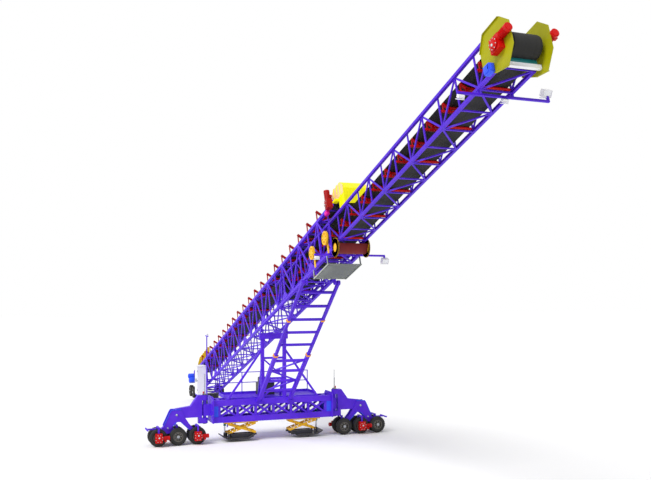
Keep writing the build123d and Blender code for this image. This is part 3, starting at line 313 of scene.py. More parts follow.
@dataclass(frozen=True)
class Grating:
    """Galvanised floor grating: pale bearing bars, with the spaces between them painted dark as painted
    shade, since a thin plate can't show them open.
    """

    name: str
    bar: str
    gap: str
    pitch_mm: float = 60.0

    def build(self) -> bpy.types.Material:
        """Build the material.

        Returns:
            A dull metal striped along Y, with bars coarser than the real 30 mm so that they show from afar.
        """
        material, tree = blank(self.name, self.bar)
        place = local(tree)
        bars = add_node(tree, "ShaderNodeTexWave", {
            "Vector": place, "Scale": 50 * math.tau / self.pitch_mm, "Distortion": 0.0}, bands_direction="Y")
        # The dark stripes between the bars are painted shade where the real grating is open.
        edge = mapped(tree, (bars, "Fac"), from_min=0.35, from_max=0.5)
        shade(tree, {
            "Base Color": mixed(tree, edge, linear(self.gap), linear(self.bar)), "Roughness": 0.5,
            "Normal": bumped(tree, edge, 0.6, 0.02), "Metallic": 0.35})
        return material


@dataclass(frozen=True)
class LampLens:
    """Moulded acrylic lens with fine flutes over a pale reflector, and a painted highlight in white along
    each flute.
    """

    name: str
    colour: str
    peak: str = "FFFFFF"

    def build(self) -> bpy.types.Material:
        """Build the material.

        Returns:
            A glossy pale material with flutes about 15 mm apart, each carrying a painted white highlight.
        """
        material, tree = blank(self.name)
        place = local(tree)
        flutes = add_node(tree, "ShaderNodeTexWave", {
            "Vector": place, "Scale": 20.0, "Distortion": 0.0}, bands_direction="Y")
        # The white half of each flute is a painted highlight.
        tone = mixed(tree, (flutes, "Fac"), linear(self.colour), linear(self.peak))
        shade(tree, {
            "Base Color": tone, "Roughness": 0.12, "Normal": bumped(tree, (flutes, "Fac"), 0.4, 0.004),
            "Coat Weight": 0.6, "IOR": 1.49})
        return material


@dataclass
class Palette:
    """Every finish of the machine by its plain name."""

    finishes: tuple = (
        # Two-pack enamel over blasted steel: even violet with a slightly paler drift where it has chalked.
        Enamel("violet_machine_enamel", "5320D6", "6230DE"),
        # The same coat on the inner boom's thinner angles, painted a shade deeper: the darker violet is
        # painted shade on the one paint.
        Enamel("deep_violet_enamel", "4A1AC8", "5A2AD2"),
        # Brighter and a little glossier, on hinges, rocker edges and service motors.
        Enamel("blue_hinge_enamel", "2E54F0", "3E62F2", roughness=0.45),
        # Two reds: a fresh one on the drives and inner idlers, a darker one on the boom's rolls.
        Enamel("signal_red_enamel", "C00404", "CC0806", roughness=0.45, dust=0.03, drift_mm=250),
        Enamel("oxide_red_enamel", "9C0408", "B0080C", dust=0.04, drift_mm=300),
        # Primer left bare: the dullest of the paints.
        Enamel("maroon_primer", "6A1416", "7A1E20", roughness=0.55, dust=0.04),
        # Four yellows that read apart: greenish, gold for the hopper, bright for the hood, and straw.
        Enamel("sulphur_yellow_enamel", "A6A400", "989600", dust=0.04),
        Enamel("gold_hopper_enamel", "D8B418", "C8A810", dust=0.04),
        Enamel("bright_yellow_enamel", "F6F000", "FFF810", roughness=0.45, dust=0.02),
        Enamel("straw_yellow_enamel", "F6C024", "ECB018", roughness=0.45, drift_mm=250),
        # Cool white on cabinets and lamps, a little smoother than the structure.
        Enamel("white_cabinet_enamel", "F0F0F4", "E6E6EC", roughness=0.4),
        # A warm even field behind the hood's yellow ribs.
        Enamel("peach_panel_enamel", "FFD49C", "FACA90", roughness=0.45, dust=0.02),
        # Dark grey that shows its dust on upper faces.
        Enamel("graphite_enamel", "2A2A30", "3A3A40", coat=0.15, dust=0.18, drift_mm=300),
        # A clear coat that draws a thin highlight along the cylinders.
        Enamel("teal_cylinder_enamel", "0B6E72", "128086", roughness=0.35, coat=0.3, dust=0.18, drift_mm=200),
        # Small strong accents: the junction box and the legs' collars.
        Enamel("magenta_box_enamel", "E0109A", "F020A8", roughness=0.45, dust=0.04, drift_mm=200),
        Enamel("amber_collar_enamel", "F09A10", "F8AC20", roughness=0.35, coat=0.15, dust=0.18, drift_mm=200),
        # Carcass-backed belt cover: bloom runs in streaks along the run of the belt.
        Rubber("conveyor_belt_rubber", "141414", "2C2B2C", streak=(0.25, 3.0, 0.25), grain_mm=60),
        # Tyres carry a warmer, dustier bloom; drum lagging is worn smoother.
        Rubber("tyre_rubber", "161616", "343230", roughness=0.72, grain_mm=18, relief=0.3),
        Rubber("drum_lagging_rubber", "121214", "262628", roughness=0.6, grain_mm=30),
        # Bearing-bar grating seen as a plate: pale zinc, with painted shade in the spaces between its bars.
        Grating("galvanised_floor_grating", "B4BAB2", "4A4E4A"),
        # Zinc spangle on bolts, dull plastic on plugs, dark rims and bright ground rods.
        Steel("zinc_plated_steel", "B9BCC0", "8E9298", roughness=0.32),
        Enamel("pale_plug_plastic", "C8E4E0", "B4D0D0", roughness=0.4, dust=0.18, drift_mm=100),
        Steel("dark_rim_steel", "6A6660", "4C4944", roughness=0.45, metallic=0.7),
        Steel("hard_chrome_rod", "C9CCD0", "AEB2B8", roughness=0.14, spangle_mm=120),
        LampLens("fluted_lamp_acrylic", "D8DCE4"),
    )
    made: dict[str, bpy.types.Material] = field(default_factory=dict)

    def build(self) -> None:
        """Build every finish once."""
        for finish_row in self.finishes:
            self.made[finish_row.name] = finish_row.build()

    def __getitem__(self, name: str) -> bpy.types.Material:
        """Return a built material by name."""
        return self.made[name]


# Bench: the modelling operators used for every new piece


def facing(axis: Axis, sign: int = 0) -> Test:
    """Test for faces that look along an axis.

    Args:
        axis: The axis.
        sign: 1 for along it, -1 for against it and 0 for both.

    Returns:
        A test of a face's middle and normal, as pick takes it.
    """
    def test(middle: Vector, normal: Vector) -> bool:
        """Say if a face looks along the axis."""
        reach = normal.dot(Vector(axis.value))
        return (reach * sign if sign else abs(reach)) > 0.9
    return test


FORE, AFT, ALONG = facing(Axis.X, 1), facing(Axis.X, -1), facing(Axis.X)
LEFTWARD, RIGHTWARD, ACROSS = facing(Axis.Y, 1), facing(Axis.Y, -1), facing(Axis.Y)
UP, DOWN, UPRIGHT = facing(Axis.Z, 1), facing(Axis.Z, -1), facing(Axis.Z)


def at(x: float, y: float, z: float) -> Matrix:
    """Matrix that moves a piece to a point."""
    return Matrix.Translation((x, y, z))


def turned(angle: float, axis: Axis) -> Matrix:
    """Matrix that turns a piece about an axis."""
    return Matrix.Rotation(angle, 4, axis.name)


def deselect() -> None:
    """Leave edit mode and clear the selection."""
    if bpy.context.object and bpy.context.object.mode != "OBJECT":
        bpy.ops.object.mode_set(mode="OBJECT")
    bpy.ops.object.select_all(action="DESELECT")


def block(size: Triple, centre: Triple = ORIGIN) -> Piece:
    """Add a cube at its size and place.

    Args:
        size: Full lengths along X, Y and Z.
        centre: Middle of the block.

    Returns:
        The new object, selected and active.
    """
    deselect()
    bpy.ops.mesh.primitive_cube_add(size=1.0, location=centre)
    piece = bpy.context.object
    piece.scale = size
    bpy.ops.object.transform_apply(location=False, rotation=False, scale=True)
    return piece


def round_bar(radius: float, length: float, centre: Triple, axis: Axis, sides: int = 16) -> Piece:
    """Add a round bar along an axis.

    Args:
        radius: Radius.
        length: Length along the axis.
        centre: Middle of the bar.
        axis: Direction of its length.
        sides: Number of sides.

    Returns:
        The new object, selected and active.
    """
    deselect()
    turn = {Axis.X: (0, QUARTER, 0), Axis.Y: (QUARTER, 0, 0), Axis.Z: ORIGIN}[axis]
    bpy.ops.mesh.primitive_cylinder_add(vertices=sides, radius=radius, depth=length, location=centre,
                                        rotation=turn)
    bpy.ops.object.transform_apply(location=False, rotation=True, scale=False)
    return bpy.context.object


def pick(piece: Piece, test: Test) -> int:
    """Select the faces of a piece by their middle and normal, in edit mode.

    Args:
        piece: Active mesh object.
        test: Takes a face's middle and normal, in the object's own axes, and says if it is picked.

    Returns:
        How many faces are selected.
    """
    bpy.ops.object.mode_set(mode="EDIT")
    bpy.ops.mesh.select_mode(type="FACE")
    bpy.ops.mesh.select_all(action="DESELECT")
    mesh = bmesh.from_edit_mesh(piece.data)
    count = 0
    for face in mesh.faces:
        chosen = test(face.calc_center_median(), face.normal)
        face.select_set(chosen)
        count += chosen
    bmesh.update_edit_mesh(piece.data)
    return count


def soften(piece: Piece, width: float, segments: int = 2) -> Piece:
    """Round a piece's edges with an applied bevel.

    Args:
        piece: Mesh object.
        width: Bevel width.
        segments: Steps across each edge.

    Returns:
        The same piece.
    """
    deselect()
    bpy.context.view_layer.objects.active = piece
    piece.select_set(True)
    bevel = piece.modifiers.new("edge", "BEVEL")
    bevel.width = width
    bevel.segments = segments
    bevel.limit_method = "ANGLE"
    bpy.ops.object.modifier_apply(modifier=bevel.name)
    bpy.ops.object.shade_smooth_by_angle(angle=math.radians(35))
    return piece


def shaped(piece: Piece, test: Test, border: float, depth: float, edge: float = 0.0,
           segments: int = 2) -> Piece:
    """Inset the picked faces, push them in or out, and round the edges.

    Args:
        piece: Active mesh object.
        test: Which faces, as pick takes it.
        border: Width of the rim that the inset leaves.
        depth: Distance along the normals; negative goes in.
        edge: Bevel width, or 0 to leave the edges sharp.
        segments: Steps across each edge.

    Returns:
        The same piece.
    """
    if pick(piece, test):
        if border:
            bpy.ops.mesh.inset(thickness=border, depth=0.0, use_individual=True)
        bpy.ops.mesh.extrude_region_shrink_fatten(TRANSFORM_OT_shrink_fatten={"value": depth})
    bpy.ops.object.mode_set(mode="OBJECT")
    return soften(piece, edge, segments) if edge else piece


def joined(pieces: list[Piece]) -> Piece:
    """Join several objects into the first.

    Args:
        pieces: Mesh objects.

    Returns:
        The joined object.
    """
    deselect()
    for piece in pieces:
        piece.select_set(True)
    bpy.context.view_layer.objects.active = pieces[0]
    if len(pieces) > 1:
        bpy.ops.object.join()
    return bpy.context.object


def copies(piece: Piece, places: list[Matrix]) -> Piece:
    """Copy a piece to several places, each with its own mesh, and join them.

    Args:
        piece: Finished mesh at its own origin.
        places: Where each copy goes.

    Returns:
        One object that holds all the copies.
    """
    made = []
    for place in places:
        twin = piece.copy()
        twin.data = piece.data.copy()
        bpy.context.scene.collection.objects.link(twin)
        twin.matrix_world = place @ piece.matrix_world
        made.append(twin)
    bpy.data.objects.remove(piece)
    return joined(made)


def coat(piece: Piece, *materials: bpy.types.Material) -> Piece:
    """Give a piece its material, or several in slot order.

    Args:
        piece: Mesh object.
        materials: Its materials; faces use the first unless told otherwise.

    Returns:
        The same piece.
    """
    piece.data.materials.clear()
    for material in materials:
        piece.data.materials.append(material)
    return piece


def finish(piece: Piece, name: str, body: str, place: Optional[Matrix] = None) -> None:
    """Name a piece, put its place in its mesh and let it ride on its body.

    Args:
        piece: Dressed mesh object.
        name: Name of the piece.
        body: Body of the frame that it moves with.
        place: Extra placement, such as the boom's.
    """
    deselect()
    piece.select_set(True)
    bpy.context.view_layer.objects.active = piece
    if place is not None:
        piece.matrix_world = place @ piece.matrix_world
    bpy.ops.object.transform_apply(location=True, rotation=True, scale=True)
    piece.name = name
    piece.data.name = name
    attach(piece, body)
    LOG.info("%s on %s: %d faces", name, body, len(piece.data.polygons))


@dataclass(frozen=True)
class Boom:
    """The boom's inclined frame."""

    start_x: float = 13.5873
    start_z: float = 5.54
    incline: float = math.radians(18.6)

    @property
    def place(self) -> Matrix:
        """Matrix that turns (s, y, w) into the row frame."""
        return at(self.start_x, 0, self.start_z) @ turned(-self.incline, Axis.Y)


@dataclass(frozen=True)
class Bogie:
    """Where the wheels of both arms stand, and which side of each its gearbox is on."""

    axle_x: float = 13.2373
    axle_z: float = 0.42
    stations: tuple = (("inner", 3.74), ("middle", 4.66), ("outer", 5.58))

    def drive_side(self, side: Side, station: str) -> int:
        """Return 1 if the station's gearbox stands ahead of its wheels and -1 if behind."""
        return side.value if station == "middle" else -side.value


BOOM = Boom()
BOGIE = Bogie()


@dataclass
class Frame:
    """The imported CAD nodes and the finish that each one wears."""

    palette: Palette
    wears: dict[str, str] = field(default_factory=lambda: {
        "frame_violet": "violet_machine_enamel", "belt_rubber": "conveyor_belt_rubber",
        "idler_red": "oxide_red_enamel", "drive_red": "signal_red_enamel",
        "drum_steel": "drum_lagging_rubber", "signal_yellow": "straw_yellow_enamel",
        "olive_yellow": "sulphur_yellow_enamel", "cabinet_white": "white_cabinet_enamel",
        "guard_maroon": "maroon_primer", "bright_blue": "blue_hinge_enamel",
        "machine_grey": "graphite_enamel", "cylinder_teal": "teal_cylinder_enamel",
        "tyre_black": "tyre_rubber", "wheel_dark": "dark_rim_steel"})
    special: dict[str, str] = field(default_factory=lambda: {
        # The inner truss and the upper legs wear the violet darkened as painted shade.
        "inner_truss": "deep_violet_enamel", "leg_upper": "deep_violet_enamel",
        "transfer_hood": "bright_yellow_enamel", "boom_drives": "oxide_red_enamel",
        "front_platform": "galvanised_floor_grating",
        "foot_ram_left": "hard_chrome_rod", "foot_ram_right": "hard_chrome_rod",
        "feed_hopper": "gold_hopper_enamel", "inner_idlers": "signal_red_enamel"})

    def dress(self, frame: dict) -> None:
        """Give every CAD node its material.
        """
        slots = {row["node"]: row["material_slot"] for row in frame["record"]["subparts"]}
        for name, node in frame["nodes"].items():
            worn = self.special.get(name, self.wears[slots[name]])
            coat(node, self.palette[worn])
            LOG.info("%s wears %s", name, worn)


@dataclass
class SubAssembly:
    """A group of pieces and the palette that dresses them."""

    palette: Palette

    def fit(self, pieces: list[Piece], colour: str, name: str, body: str, slot: str,
            place: Optional[Matrix] = None) -> Piece:
        """Join pieces into one, dress it and finish it.

        Args:
            pieces: Mesh objects.
            colour: Its finish, by plain name.
            name: Name of the piece.
            body: Body of the frame that it moves with.
            slot: The record's material slot of the piece; not used.
            place: Extra placement, such as the boom's.

        Returns:
            The finished piece.
        """
        piece = coat(joined(pieces), self.palette[colour])
        finish(piece, name, body, place)
        return piece


@dataclass
class Tyres(SubAssembly):
    """Lugged tyres and nut rings of the bogie wheels and tail wheels."""

    radius: float = 0.42
    width: float = 0.22
    rim: float = 0.235
    spacing: float = 0.30
    hub_face: float = 0.335
    tail_radius: float = 0.38
    tail_width: float = 0.24
    tail_rim: float = 0.215
    tail_reach: float = 0.90
    tail_hub_face: float = 0.945
    lugs: int = 28
    lug_height: float = 0.016
    nut_count: int = 8
    tail_axles: tuple = (("front", -15.739, 0.106), ("rear", -16.640, 0.409))

    def tyre(self, radius: float, width: float, rim: float) -> Piece:
        """Draw a tyre's section, spin it about the X axis and raise the lugs.

        Args:
            radius: Outer radius over the lugs.
            width: Width over the sidewalls.
            rim: Bead radius.

        Returns:
            The tyre, centred on the origin.
        """
        base, half = radius - self.lug_height, width / 2
        flank = [(half - 0.02, rim), (half - 0.006, rim + 0.03), (half, rim + 0.09),
                 (half - 0.012, base - 0.035), (half - 0.035, base - 0.008), (0.004, base)]
        profile = [(-x, z) for x, z in flank] + flank[::-1]
        deselect()
        bpy.ops.mesh.primitive_plane_add(size=0.01)
        piece = bpy.context.object
        bpy.ops.object.mode_set(mode="EDIT")
        bpy.ops.mesh.select_mode(type="VERT")
        bpy.ops.mesh.select_all(action="SELECT")
        bpy.ops.mesh.merge(type="CENTER")
        bpy.ops.transform.translate(value=(profile[0][0], 0, profile[0][1]))
        for (x0, z0), (x1, z1) in zip(profile, profile[1:] + profile[:1]):
            bpy.ops.mesh.extrude_region_move(TRANSFORM_OT_translate={"value": (x1 - x0, 0, z1 - z0)})
        bpy.ops.mesh.select_all(action="SELECT")
        bpy.ops.mesh.spin(steps=self.lugs * 2, angle=math.tau, center=ORIGIN, axis=(1, 0, 0))
        bpy.ops.mesh.select_all(action="SELECT")
        bpy.ops.mesh.remove_doubles(threshold=0.0005)
        bpy.ops.mesh.normals_make_consistent(inside=False)
        bpy.ops.object.mode_set(mode="OBJECT")

        def raised(middle: Vector, normal: Vector) -> bool:
            """Say if a face of the tread lies under a lug.

            Args:
                middle: Middle of the face.
                normal: Its normal, which doesn't matter here.

            Returns:
                Whether it is raised.
            """
            turn = math.atan2(middle.y, middle.z) / math.tau * self.lugs
            shift = 0.5 if middle.x > 0 else 0.0
            tread = math.hypot(middle.y, middle.z) > base - 0.03 and abs(middle.x) > 0.006
            return tread and (turn + shift) % 1.0 < 0.5

        shaped(piece, raised, 0.0, self.lug_height * 0.95)
        bpy.ops.object.shade_smooth_by_angle(angle=math.radians(40))
        return piece

    def nuts(self, circle: float, size: float, boss: Optional[float]) -> Piece:
        """Make a ring of hexagon nuts, with a hub cap where no drive shaft enters, facing along X.

        Args:
            circle: Radius of the ring.
            size: Radius of a nut.
            boss: How far the hub's boss stands out past the ring, or None where a shaft enters.

        Returns:
            The joined ring, centred on the origin.
        """
        nut = shaped(round_bar(size, size * 1.4, ORIGIN, Axis.X, 6), ALONG, size * 0.35, size * 0.5,
                     size * 0.12, 1)
        ring = copies(nut, [turned(math.tau * i / self.nut_count, Axis.X) @ at(0, 0, circle)
                            for i in range(self.nut_count)])
        if boss is None:
            return ring
        cap = round_bar(circle * 0.5, 0.02, (boss, 0, 0), Axis.X, 24)
        return joined([ring, shaped(cap, FORE, circle * 0.12, 0.012, 0.005)])

    def build(self) -> None:
        """Build, place and dress the wheels' pieces."""
        for side in Side:
            for name, y in BOGIE.stations:
                body = f"wheel_{side.label}_{name}"
                hub_y = side.value * y
                pair = copies(self.tyre(self.radius, self.width, self.rim), [
                    at(BOGIE.axle_x + x, hub_y, self.radius) for x in (-self.spacing, self.spacing)])
                pair = self.fit([pair], "tyre_rubber", f"{body}_lugged_tyres", body, "tyre_black")
                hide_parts(f"{body}_tyres")
                ends = []
                for end in (-1, 1):
                    face = at(BOGIE.axle_x + end * self.hub_face, hub_y, self.radius) @ turned(
                        0 if end > 0 else math.pi, Axis.Z)
                    boss = None if end == BOGIE.drive_side(side, name) else 0.07
                    ends.append(copies(self.nuts(0.14, 0.02, boss), [face]))
                self.fit(ends, "zinc_plated_steel", f"{body}_nuts", body, "wheel_dark")
        for name, s, w in self.tail_axles:
            body = f"tail_wheels_{name}"
            pair = copies(self.tyre(self.tail_radius, self.tail_width, self.tail_rim), [
                at(s, y, w) @ turned(QUARTER, Axis.Z) for y in (-self.tail_reach, self.tail_reach)])
            pair = self.fit([pair], "tyre_rubber", f"{body}_lugged_tyres", body, "tyre_black", BOOM.place)
            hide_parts(f"tail_{name}_tyres")
            rings = copies(self.nuts(0.128, 0.018, 0.075), [
                at(s, side.value * self.tail_hub_face, w) @ turned(side.value * QUARTER, Axis.Z)
                for side in Side])
            self.fit([rings], "zinc_plated_steel", f"{body}_nuts", body, "wheel_dark", BOOM.place)


@dataclass
class Lamps(SubAssembly):
    """Work lamps on the two lamp bars."""

    size: Triple = (0.20, 0.26, 0.20)
    small: Triple = (0.12, 0.18, 0.09)
    aim: float = math.radians(25)
    bars: tuple = (
        ("boom", "boom", 9.93, ((1.62, -0.30, True), (-1.16, -0.20, False))),
        ("head", "inner_boom", 21.03, ((1.60, 0.30, True), (-1.06, -0.05, False), (0.25, -0.05, False))))

    def lamp(self, size: Triple) -> Piece:
        """Model one lamp: housing, hood lip, lens and yoke.

        Args:
            size: Depth, width and height of the housing.

        Returns:
            The lamp with housing and lens in two material slots, centred on the origin.
        """
        _, wide, tall = size
        body = shaped(shaped(block(size), FORE, 0.018, -0.02), AFT, tall / 5, 0.03, 0.01)
        yoke = shaped(block((0.04, wide + 0.05, 0.02), (0, 0, -tall / 2 - 0.03)), ACROSS, 0.0, 0.01, 0.004, 1)
        lamp = joined([body, yoke])
        coat(lamp, self.palette["white_cabinet_enamel"], self.palette["fluted_lamp_acrylic"])
        for face in lamp.data.polygons:
            if face.normal.x > 0.9 and face.area > 0.6 * (wide - 0.06) * (tall - 0.06):
                face.material_index = 1
        return lamp

    def build(self) -> None:
        """Build the lamps of both bars."""
        tilt = turned(BOOM.incline + self.aim, Axis.Y)
        for name, body, s, spots in self.bars:
            lamps = [copies(self.lamp(self.size if large else self.small), [at(s, y, w) @ tilt])
                     for y, w, large in spots]
            finish(joined(lamps), f"{name}_work_lamps", body, BOOM.place)


@dataclass
class Head(SubAssembly):
    """Discharge head trim: flanges of the cheeks, scraper and belt cleaner motor."""

    cheek: float = 0.562
    flange: float = 0.05
    edges: tuple = (((21.51, 0.905), (21.78, 1.335)), ((21.79, 1.334), (22.51, 1.334)),
                    ((22.02, 0.055), (22.52, -0.08)))

    def strip(self, start: tuple, end: tuple, y: float) -> Piece:
        """Model a bent flange along one edge of a cheek.

        Args:
            start: (s, w) of its rear end.
            end: (s, w) of its front end.
            y: Middle of the flange.

        Returns:
            The strip in boom coordinates.
        """
        run = Vector((end[0] - start[0], 0, end[1] - start[1]))
        piece = shaped(block((run.length, self.flange, 0.012)), UP, 0.01, 0.006, 0.003, 1)
        middle = at((start[0] + end[0]) / 2, y, (start[1] + end[1]) / 2)
        piece.matrix_world = middle @ turned(-math.atan2(run.z, run.x), Axis.Y)
        return piece

    def build(self) -> None:
        """Build the head's trim."""
        strips = [self.strip(start, end, side.value * (self.cheek + self.flange / 2))
                  for side in Side for start, end in self.edges]
        self.fit(strips, "sulphur_yellow_enamel", "head_cheek_flanges", "inner_boom", "olive_yellow",
                 BOOM.place)
        beam = shaped(block((0.10, 1.09, 0.12), (22.30, 0, 0.14)), ALONG, 0.02, -0.012, 0.008)
        self.fit([beam], "white_cabinet_enamel", "head_scraper_beam", "inner_boom", "cabinet_white",
                 BOOM.place)
        blade = shaped(block((0.05, 0.84, 0.10), (22.34, 0, 0.245)), UP, 0.012, 0.012, 0.005)
        self.fit([blade], "teal_cylinder_enamel", "head_scraper_blade", "inner_boom", "cylinder_teal",
                 BOOM.place)
        box = shaped(block((0.26, 0.16, 0.24), (21.86, -0.655, 0.24)), RIGHTWARD, 0.025, 0.03)
        self.fit([shaped(box, FORE, 0.03, 0.03, 0.012)], "blue_hinge_enamel", "head_belt_cleaner_motor",
                 "inner_boom", "bright_blue", BOOM.place)


@dataclass
class MotorFins(SubAssembly):
    """Cooling fins, cowls and terminal boxes of every gearmotor."""

    fins: int = 9
    boom_motor: tuple = (0.10, 0.40)
    wheel_motor: tuple = (0.087, 0.34)

    def motor(self, radius: float, length: float) -> Piece:
        """Model the finned shell that goes round one motor, along Z.

        Args:
            radius: Radius of the motor it covers.
            length: Its length.

        Returns:
            Fins, cowl and terminal box, with the motor's middle on the origin.
        """
        fin = shaped(round_bar(radius + 0.012, 0.008, ORIGIN, Axis.Z, 20), UPRIGHT, 0.006, 0.001)
        pitch = length * 0.62 / (self.fins - 1)
        rings = copies(fin, [at(0, 0, -length * 0.34 + i * pitch) for i in range(self.fins)])
        cowl = shaped(round_bar(radius + 0.014, length * 0.2, (0, 0, length * 0.40), Axis.Z, 24), UP,
                      radius * 0.25, -0.012, 0.006)
        terminal = shaped(block((0.09, 0.08, 0.11), (0, radius + 0.035, -length * 0.05)), LEFTWARD, 0.012,
                          0.014, 0.006, 1)
        return joined([rings, cowl, terminal])

    def build(self) -> None:
        """Dress the head, transfer and bogie motors."""
        along = turned(QUARTER, Axis.Y)
        head = [at(22.75, side.value * 0.667, 0.73) @ along for side in Side]
        transfer = [at(10.69, side.value * 0.765, 2.0) for side in Side]
        for name, body, places, colour in (("head", "inner_boom", head, "signal_red_enamel"),
                                           ("transfer", "boom", transfer, "oxide_red_enamel")):
            self.fit([copies(self.motor(*self.boom_motor), places)], colour, f"{name}_motor_fins", body,
                     "drive_red", BOOM.place)
        for side in Side:
            places = []
            for station, y in BOGIE.stations:
                drive = BOGIE.drive_side(side, station)
                places.append(at(BOGIE.axle_x + 0.52 * drive, side.value * y + 0.325 * drive, BOGIE.axle_z)
                              @ turned(-drive * QUARTER, Axis.X))
            self.fit([copies(self.motor(*self.wheel_motor), places)], "signal_red_enamel",
                     f"bogie_motor_fins_{side.label}", f"arm_{side.label}", "drive_red")


@dataclass
class GearCovers(SubAssembly):
    """Bolted covers and oil plugs on the gearboxes of the wheels, the head and the transfer."""

    wheel_face: float = 0.605
    thick: float = 0.022
    bolts: int = 8

    def cover(self, radius: float) -> Piece:
        """Model a round cover with a raised middle, on the XY plane and looking along Z."""
        plate = round_bar(radius, self.thick, (0, 0, self.thick / 2), Axis.Z, 28)
        return shaped(plate, UP, radius * 0.3, self.thick * 0.9, self.thick * 0.2)

    def studs(self, radius: float) -> Piece:
        """Model the bolt heads round a cover and its sight plug.

        Args:
            radius: Radius of the cover.

        Returns:
            The joined heads, on the XY plane.
        """
        thick = self.thick
        head = shaped(round_bar(radius * 0.08, thick * 0.7, (0, 0, thick * 1.2), Axis.Z, 6), UP,
                      radius * 0.025, thick * 0.2)
        ring = copies(head, [turned(math.tau * (i + 0.5) / self.bolts, Axis.Z) @ at(radius * 0.85, 0, 0)
                             for i in range(self.bolts)])
        plug = shaped(round_bar(radius * 0.2, thick * 1.2, (0, -radius * 0.2, thick * 2.2), Axis.Z, 16), UP,
                      radius * 0.06, thick * 0.3, thick * 0.15, 1)
        return joined([ring, plug])

    def cap(self, name: str, body: str, faces: list[Matrix], radius: float, colour: str,
            place: Optional[Matrix] = None) -> None:
        """Put covers and studs on several gearbox faces.

        Args:
            name: Start of the pieces' names.
            body: Body they ride on.
            faces: Where each face is, with Z outward.
            radius: Radius of the cover.
            colour: Finish of the cover.
            place: Extra placement, such as the boom's.
        """
        self.fit([copies(self.cover(radius), faces)], colour, f"{name}_covers", body, "drive_red", place)
        self.fit([copies(self.studs(radius), faces)], "pale_plug_plastic", f"{name}_studs", body,
                 "drum_steel", place)

    def build(self) -> None:
        """Fit every gearbox."""
        for side in Side:
            faces = []
            for name, y in BOGIE.stations:
                drive = BOGIE.drive_side(side, name)
                faces.append(at(BOGIE.axle_x + drive * self.wheel_face, side.value * y, BOGIE.axle_z)
                             @ turned(drive * QUARTER, Axis.Y) @ turned(-drive * QUARTER, Axis.Z))
            self.cap(f"bogie_gear_{side.label}", f"arm_{side.label}", faces, 0.19, "signal_red_enamel")
        for name, body, (s, y, w), radius, colour in (
                ("head_gear", "inner_boom", (22.36, 0.762, 0.62), 0.165, "signal_red_enamel"),
                ("transfer_gear", "boom", (10.74, 0.87, 1.63), 0.13, "oxide_red_enamel")):
            faces = [at(s, side.value * y, w) @ turned(-side.value * QUARTER, Axis.X) for side in Side]
            self.cap(name, body, faces, radius, colour, BOOM.place)


@dataclass
class RockerEdges(SubAssembly):
    """Blue edge strips and pale pivot bolts of the walking rockers and arms."""

    face: float = 0.17
    runs: tuple = (
        ((4.48, 1.665), (4.94, 1.665)), ((4.94, 1.665), (5.01, 1.56)), ((5.01, 1.56), (5.30, 0.93)),
        ((4.88, 0.90), (4.70, 1.08)), ((4.50, 1.08), (4.10, 0.695)))
    pivots: tuple = ((4.70, 1.42, 0.055), (5.12, 0.83, 0.04))

    def build(self) -> None:
        """Build strips and bolts of both sides."""
        for side in Side:
            strips, bolts = [], []
            for end in (-1, 1):
                for (y0, z0), (y1, z1) in self.runs:
                    run = Vector((0, side.value * (y1 - y0), z1 - z0))
                    strip = shaped(block((0.016, run.length, 0.03)), ALONG, 0.004, 0.003)
                    strip.matrix_world = at(
                        BOGIE.axle_x + end * (self.face + 0.006), side.value * (y0 + y1) / 2,
                        (z0 + z1) / 2) @ turned(math.atan2(run.z, run.y), Axis.X)
                    strips.append(strip)
                for y, z, radius in self.pivots:
                    centre = (BOGIE.axle_x + end * (self.face + 0.018), side.value * y, z)
                    bolt = round_bar(radius, 0.03, centre, Axis.X, 12)
                    bolts.append(shaped(bolt, FORE if end > 0 else AFT, radius * 0.3, 0.012, 0.004, 1))
            arm = f"arm_{side.label}"
            self.fit(strips, "blue_hinge_enamel", f"rocker_edges_{side.label}", arm, "bright_blue")
            self.fit(bolts, "zinc_plated_steel", f"rocker_bolts_{side.label}", arm, "drum_steel")


@dataclass
class Hinges(SubAssembly):
    """Dark pin caps, bolt rows, marker poles and beacons of the folding arms."""

    hinge_y: float = 3.33
    flange_y: float = 3.052
    poles: tuple = ((-0.06, 0.95), (0.06, 0.95), (0.0, 0.55))
    bolt_rows: tuple = tuple((x, z) for x in (-0.52, 0.52) for z in (1.10, 1.35, 1.60, 1.85, 2.05)) + tuple(
        (x, z) for x in (-0.3, 0.0, 0.3) for z in (1.03, 2.12))

    def build(self) -> None:
        """Build the hinge trim of both sides."""
        x = BOGIE.axle_x
        for side in Side:
            y = side.value * self.hinge_y
            arm = f"arm_{side.label}"
            top = shaped(round_bar(0.115, 0.03, (x, y, 2.305), Axis.Z, 28), UP, 0.03, 0.014, 0.005)
            bottom = shaped(round_bar(0.105, 0.03, (x, y, 0.935), Axis.Z, 28), DOWN, 0.03, 0.01, 0.005)
            self.fit([top, bottom], "graphite_enamel", f"{arm}_pin_caps", arm, "machine_grey")
            poles = []
            for shift, tall in self.poles:
                pole = round_bar(0.010, tall, (x + shift, y, 2.33 + tall / 2), Axis.Z, 8)
                poles.append(shaped(pole, UP, 0.003, 0.01))
            poles.append(shaped(block((0.20, 0.14, 0.03), (x, y, 2.335)), UP, 0.02, 0.012, 0.005))
            self.fit(poles, "zinc_plated_steel", f"{arm}_marker_poles", arm, "drum_steel")
            beacon = round_bar(0.035, 0.09, (x, y + side.value * 0.06, 2.40), Axis.Z, 20)
            self.fit([shaped(beacon, UP, 0.012, 0.012, 0.006)], "signal_red_enamel", f"{arm}_beacon", arm,
                     "drive_red")
            bolt = shaped(round_bar(0.018, 0.014, ORIGIN, Axis.Y, 6), ACROSS, 0.005, 0.006)
            flange = side.value * self.flange_y
            heads = copies(bolt, [at(x + shift, flange, z) for shift, z in self.bolt_rows])
            self.fit([heads], "zinc_plated_steel", f"beam_flange_bolts_{side.label}", "undercarriage",
                     "drum_steel")


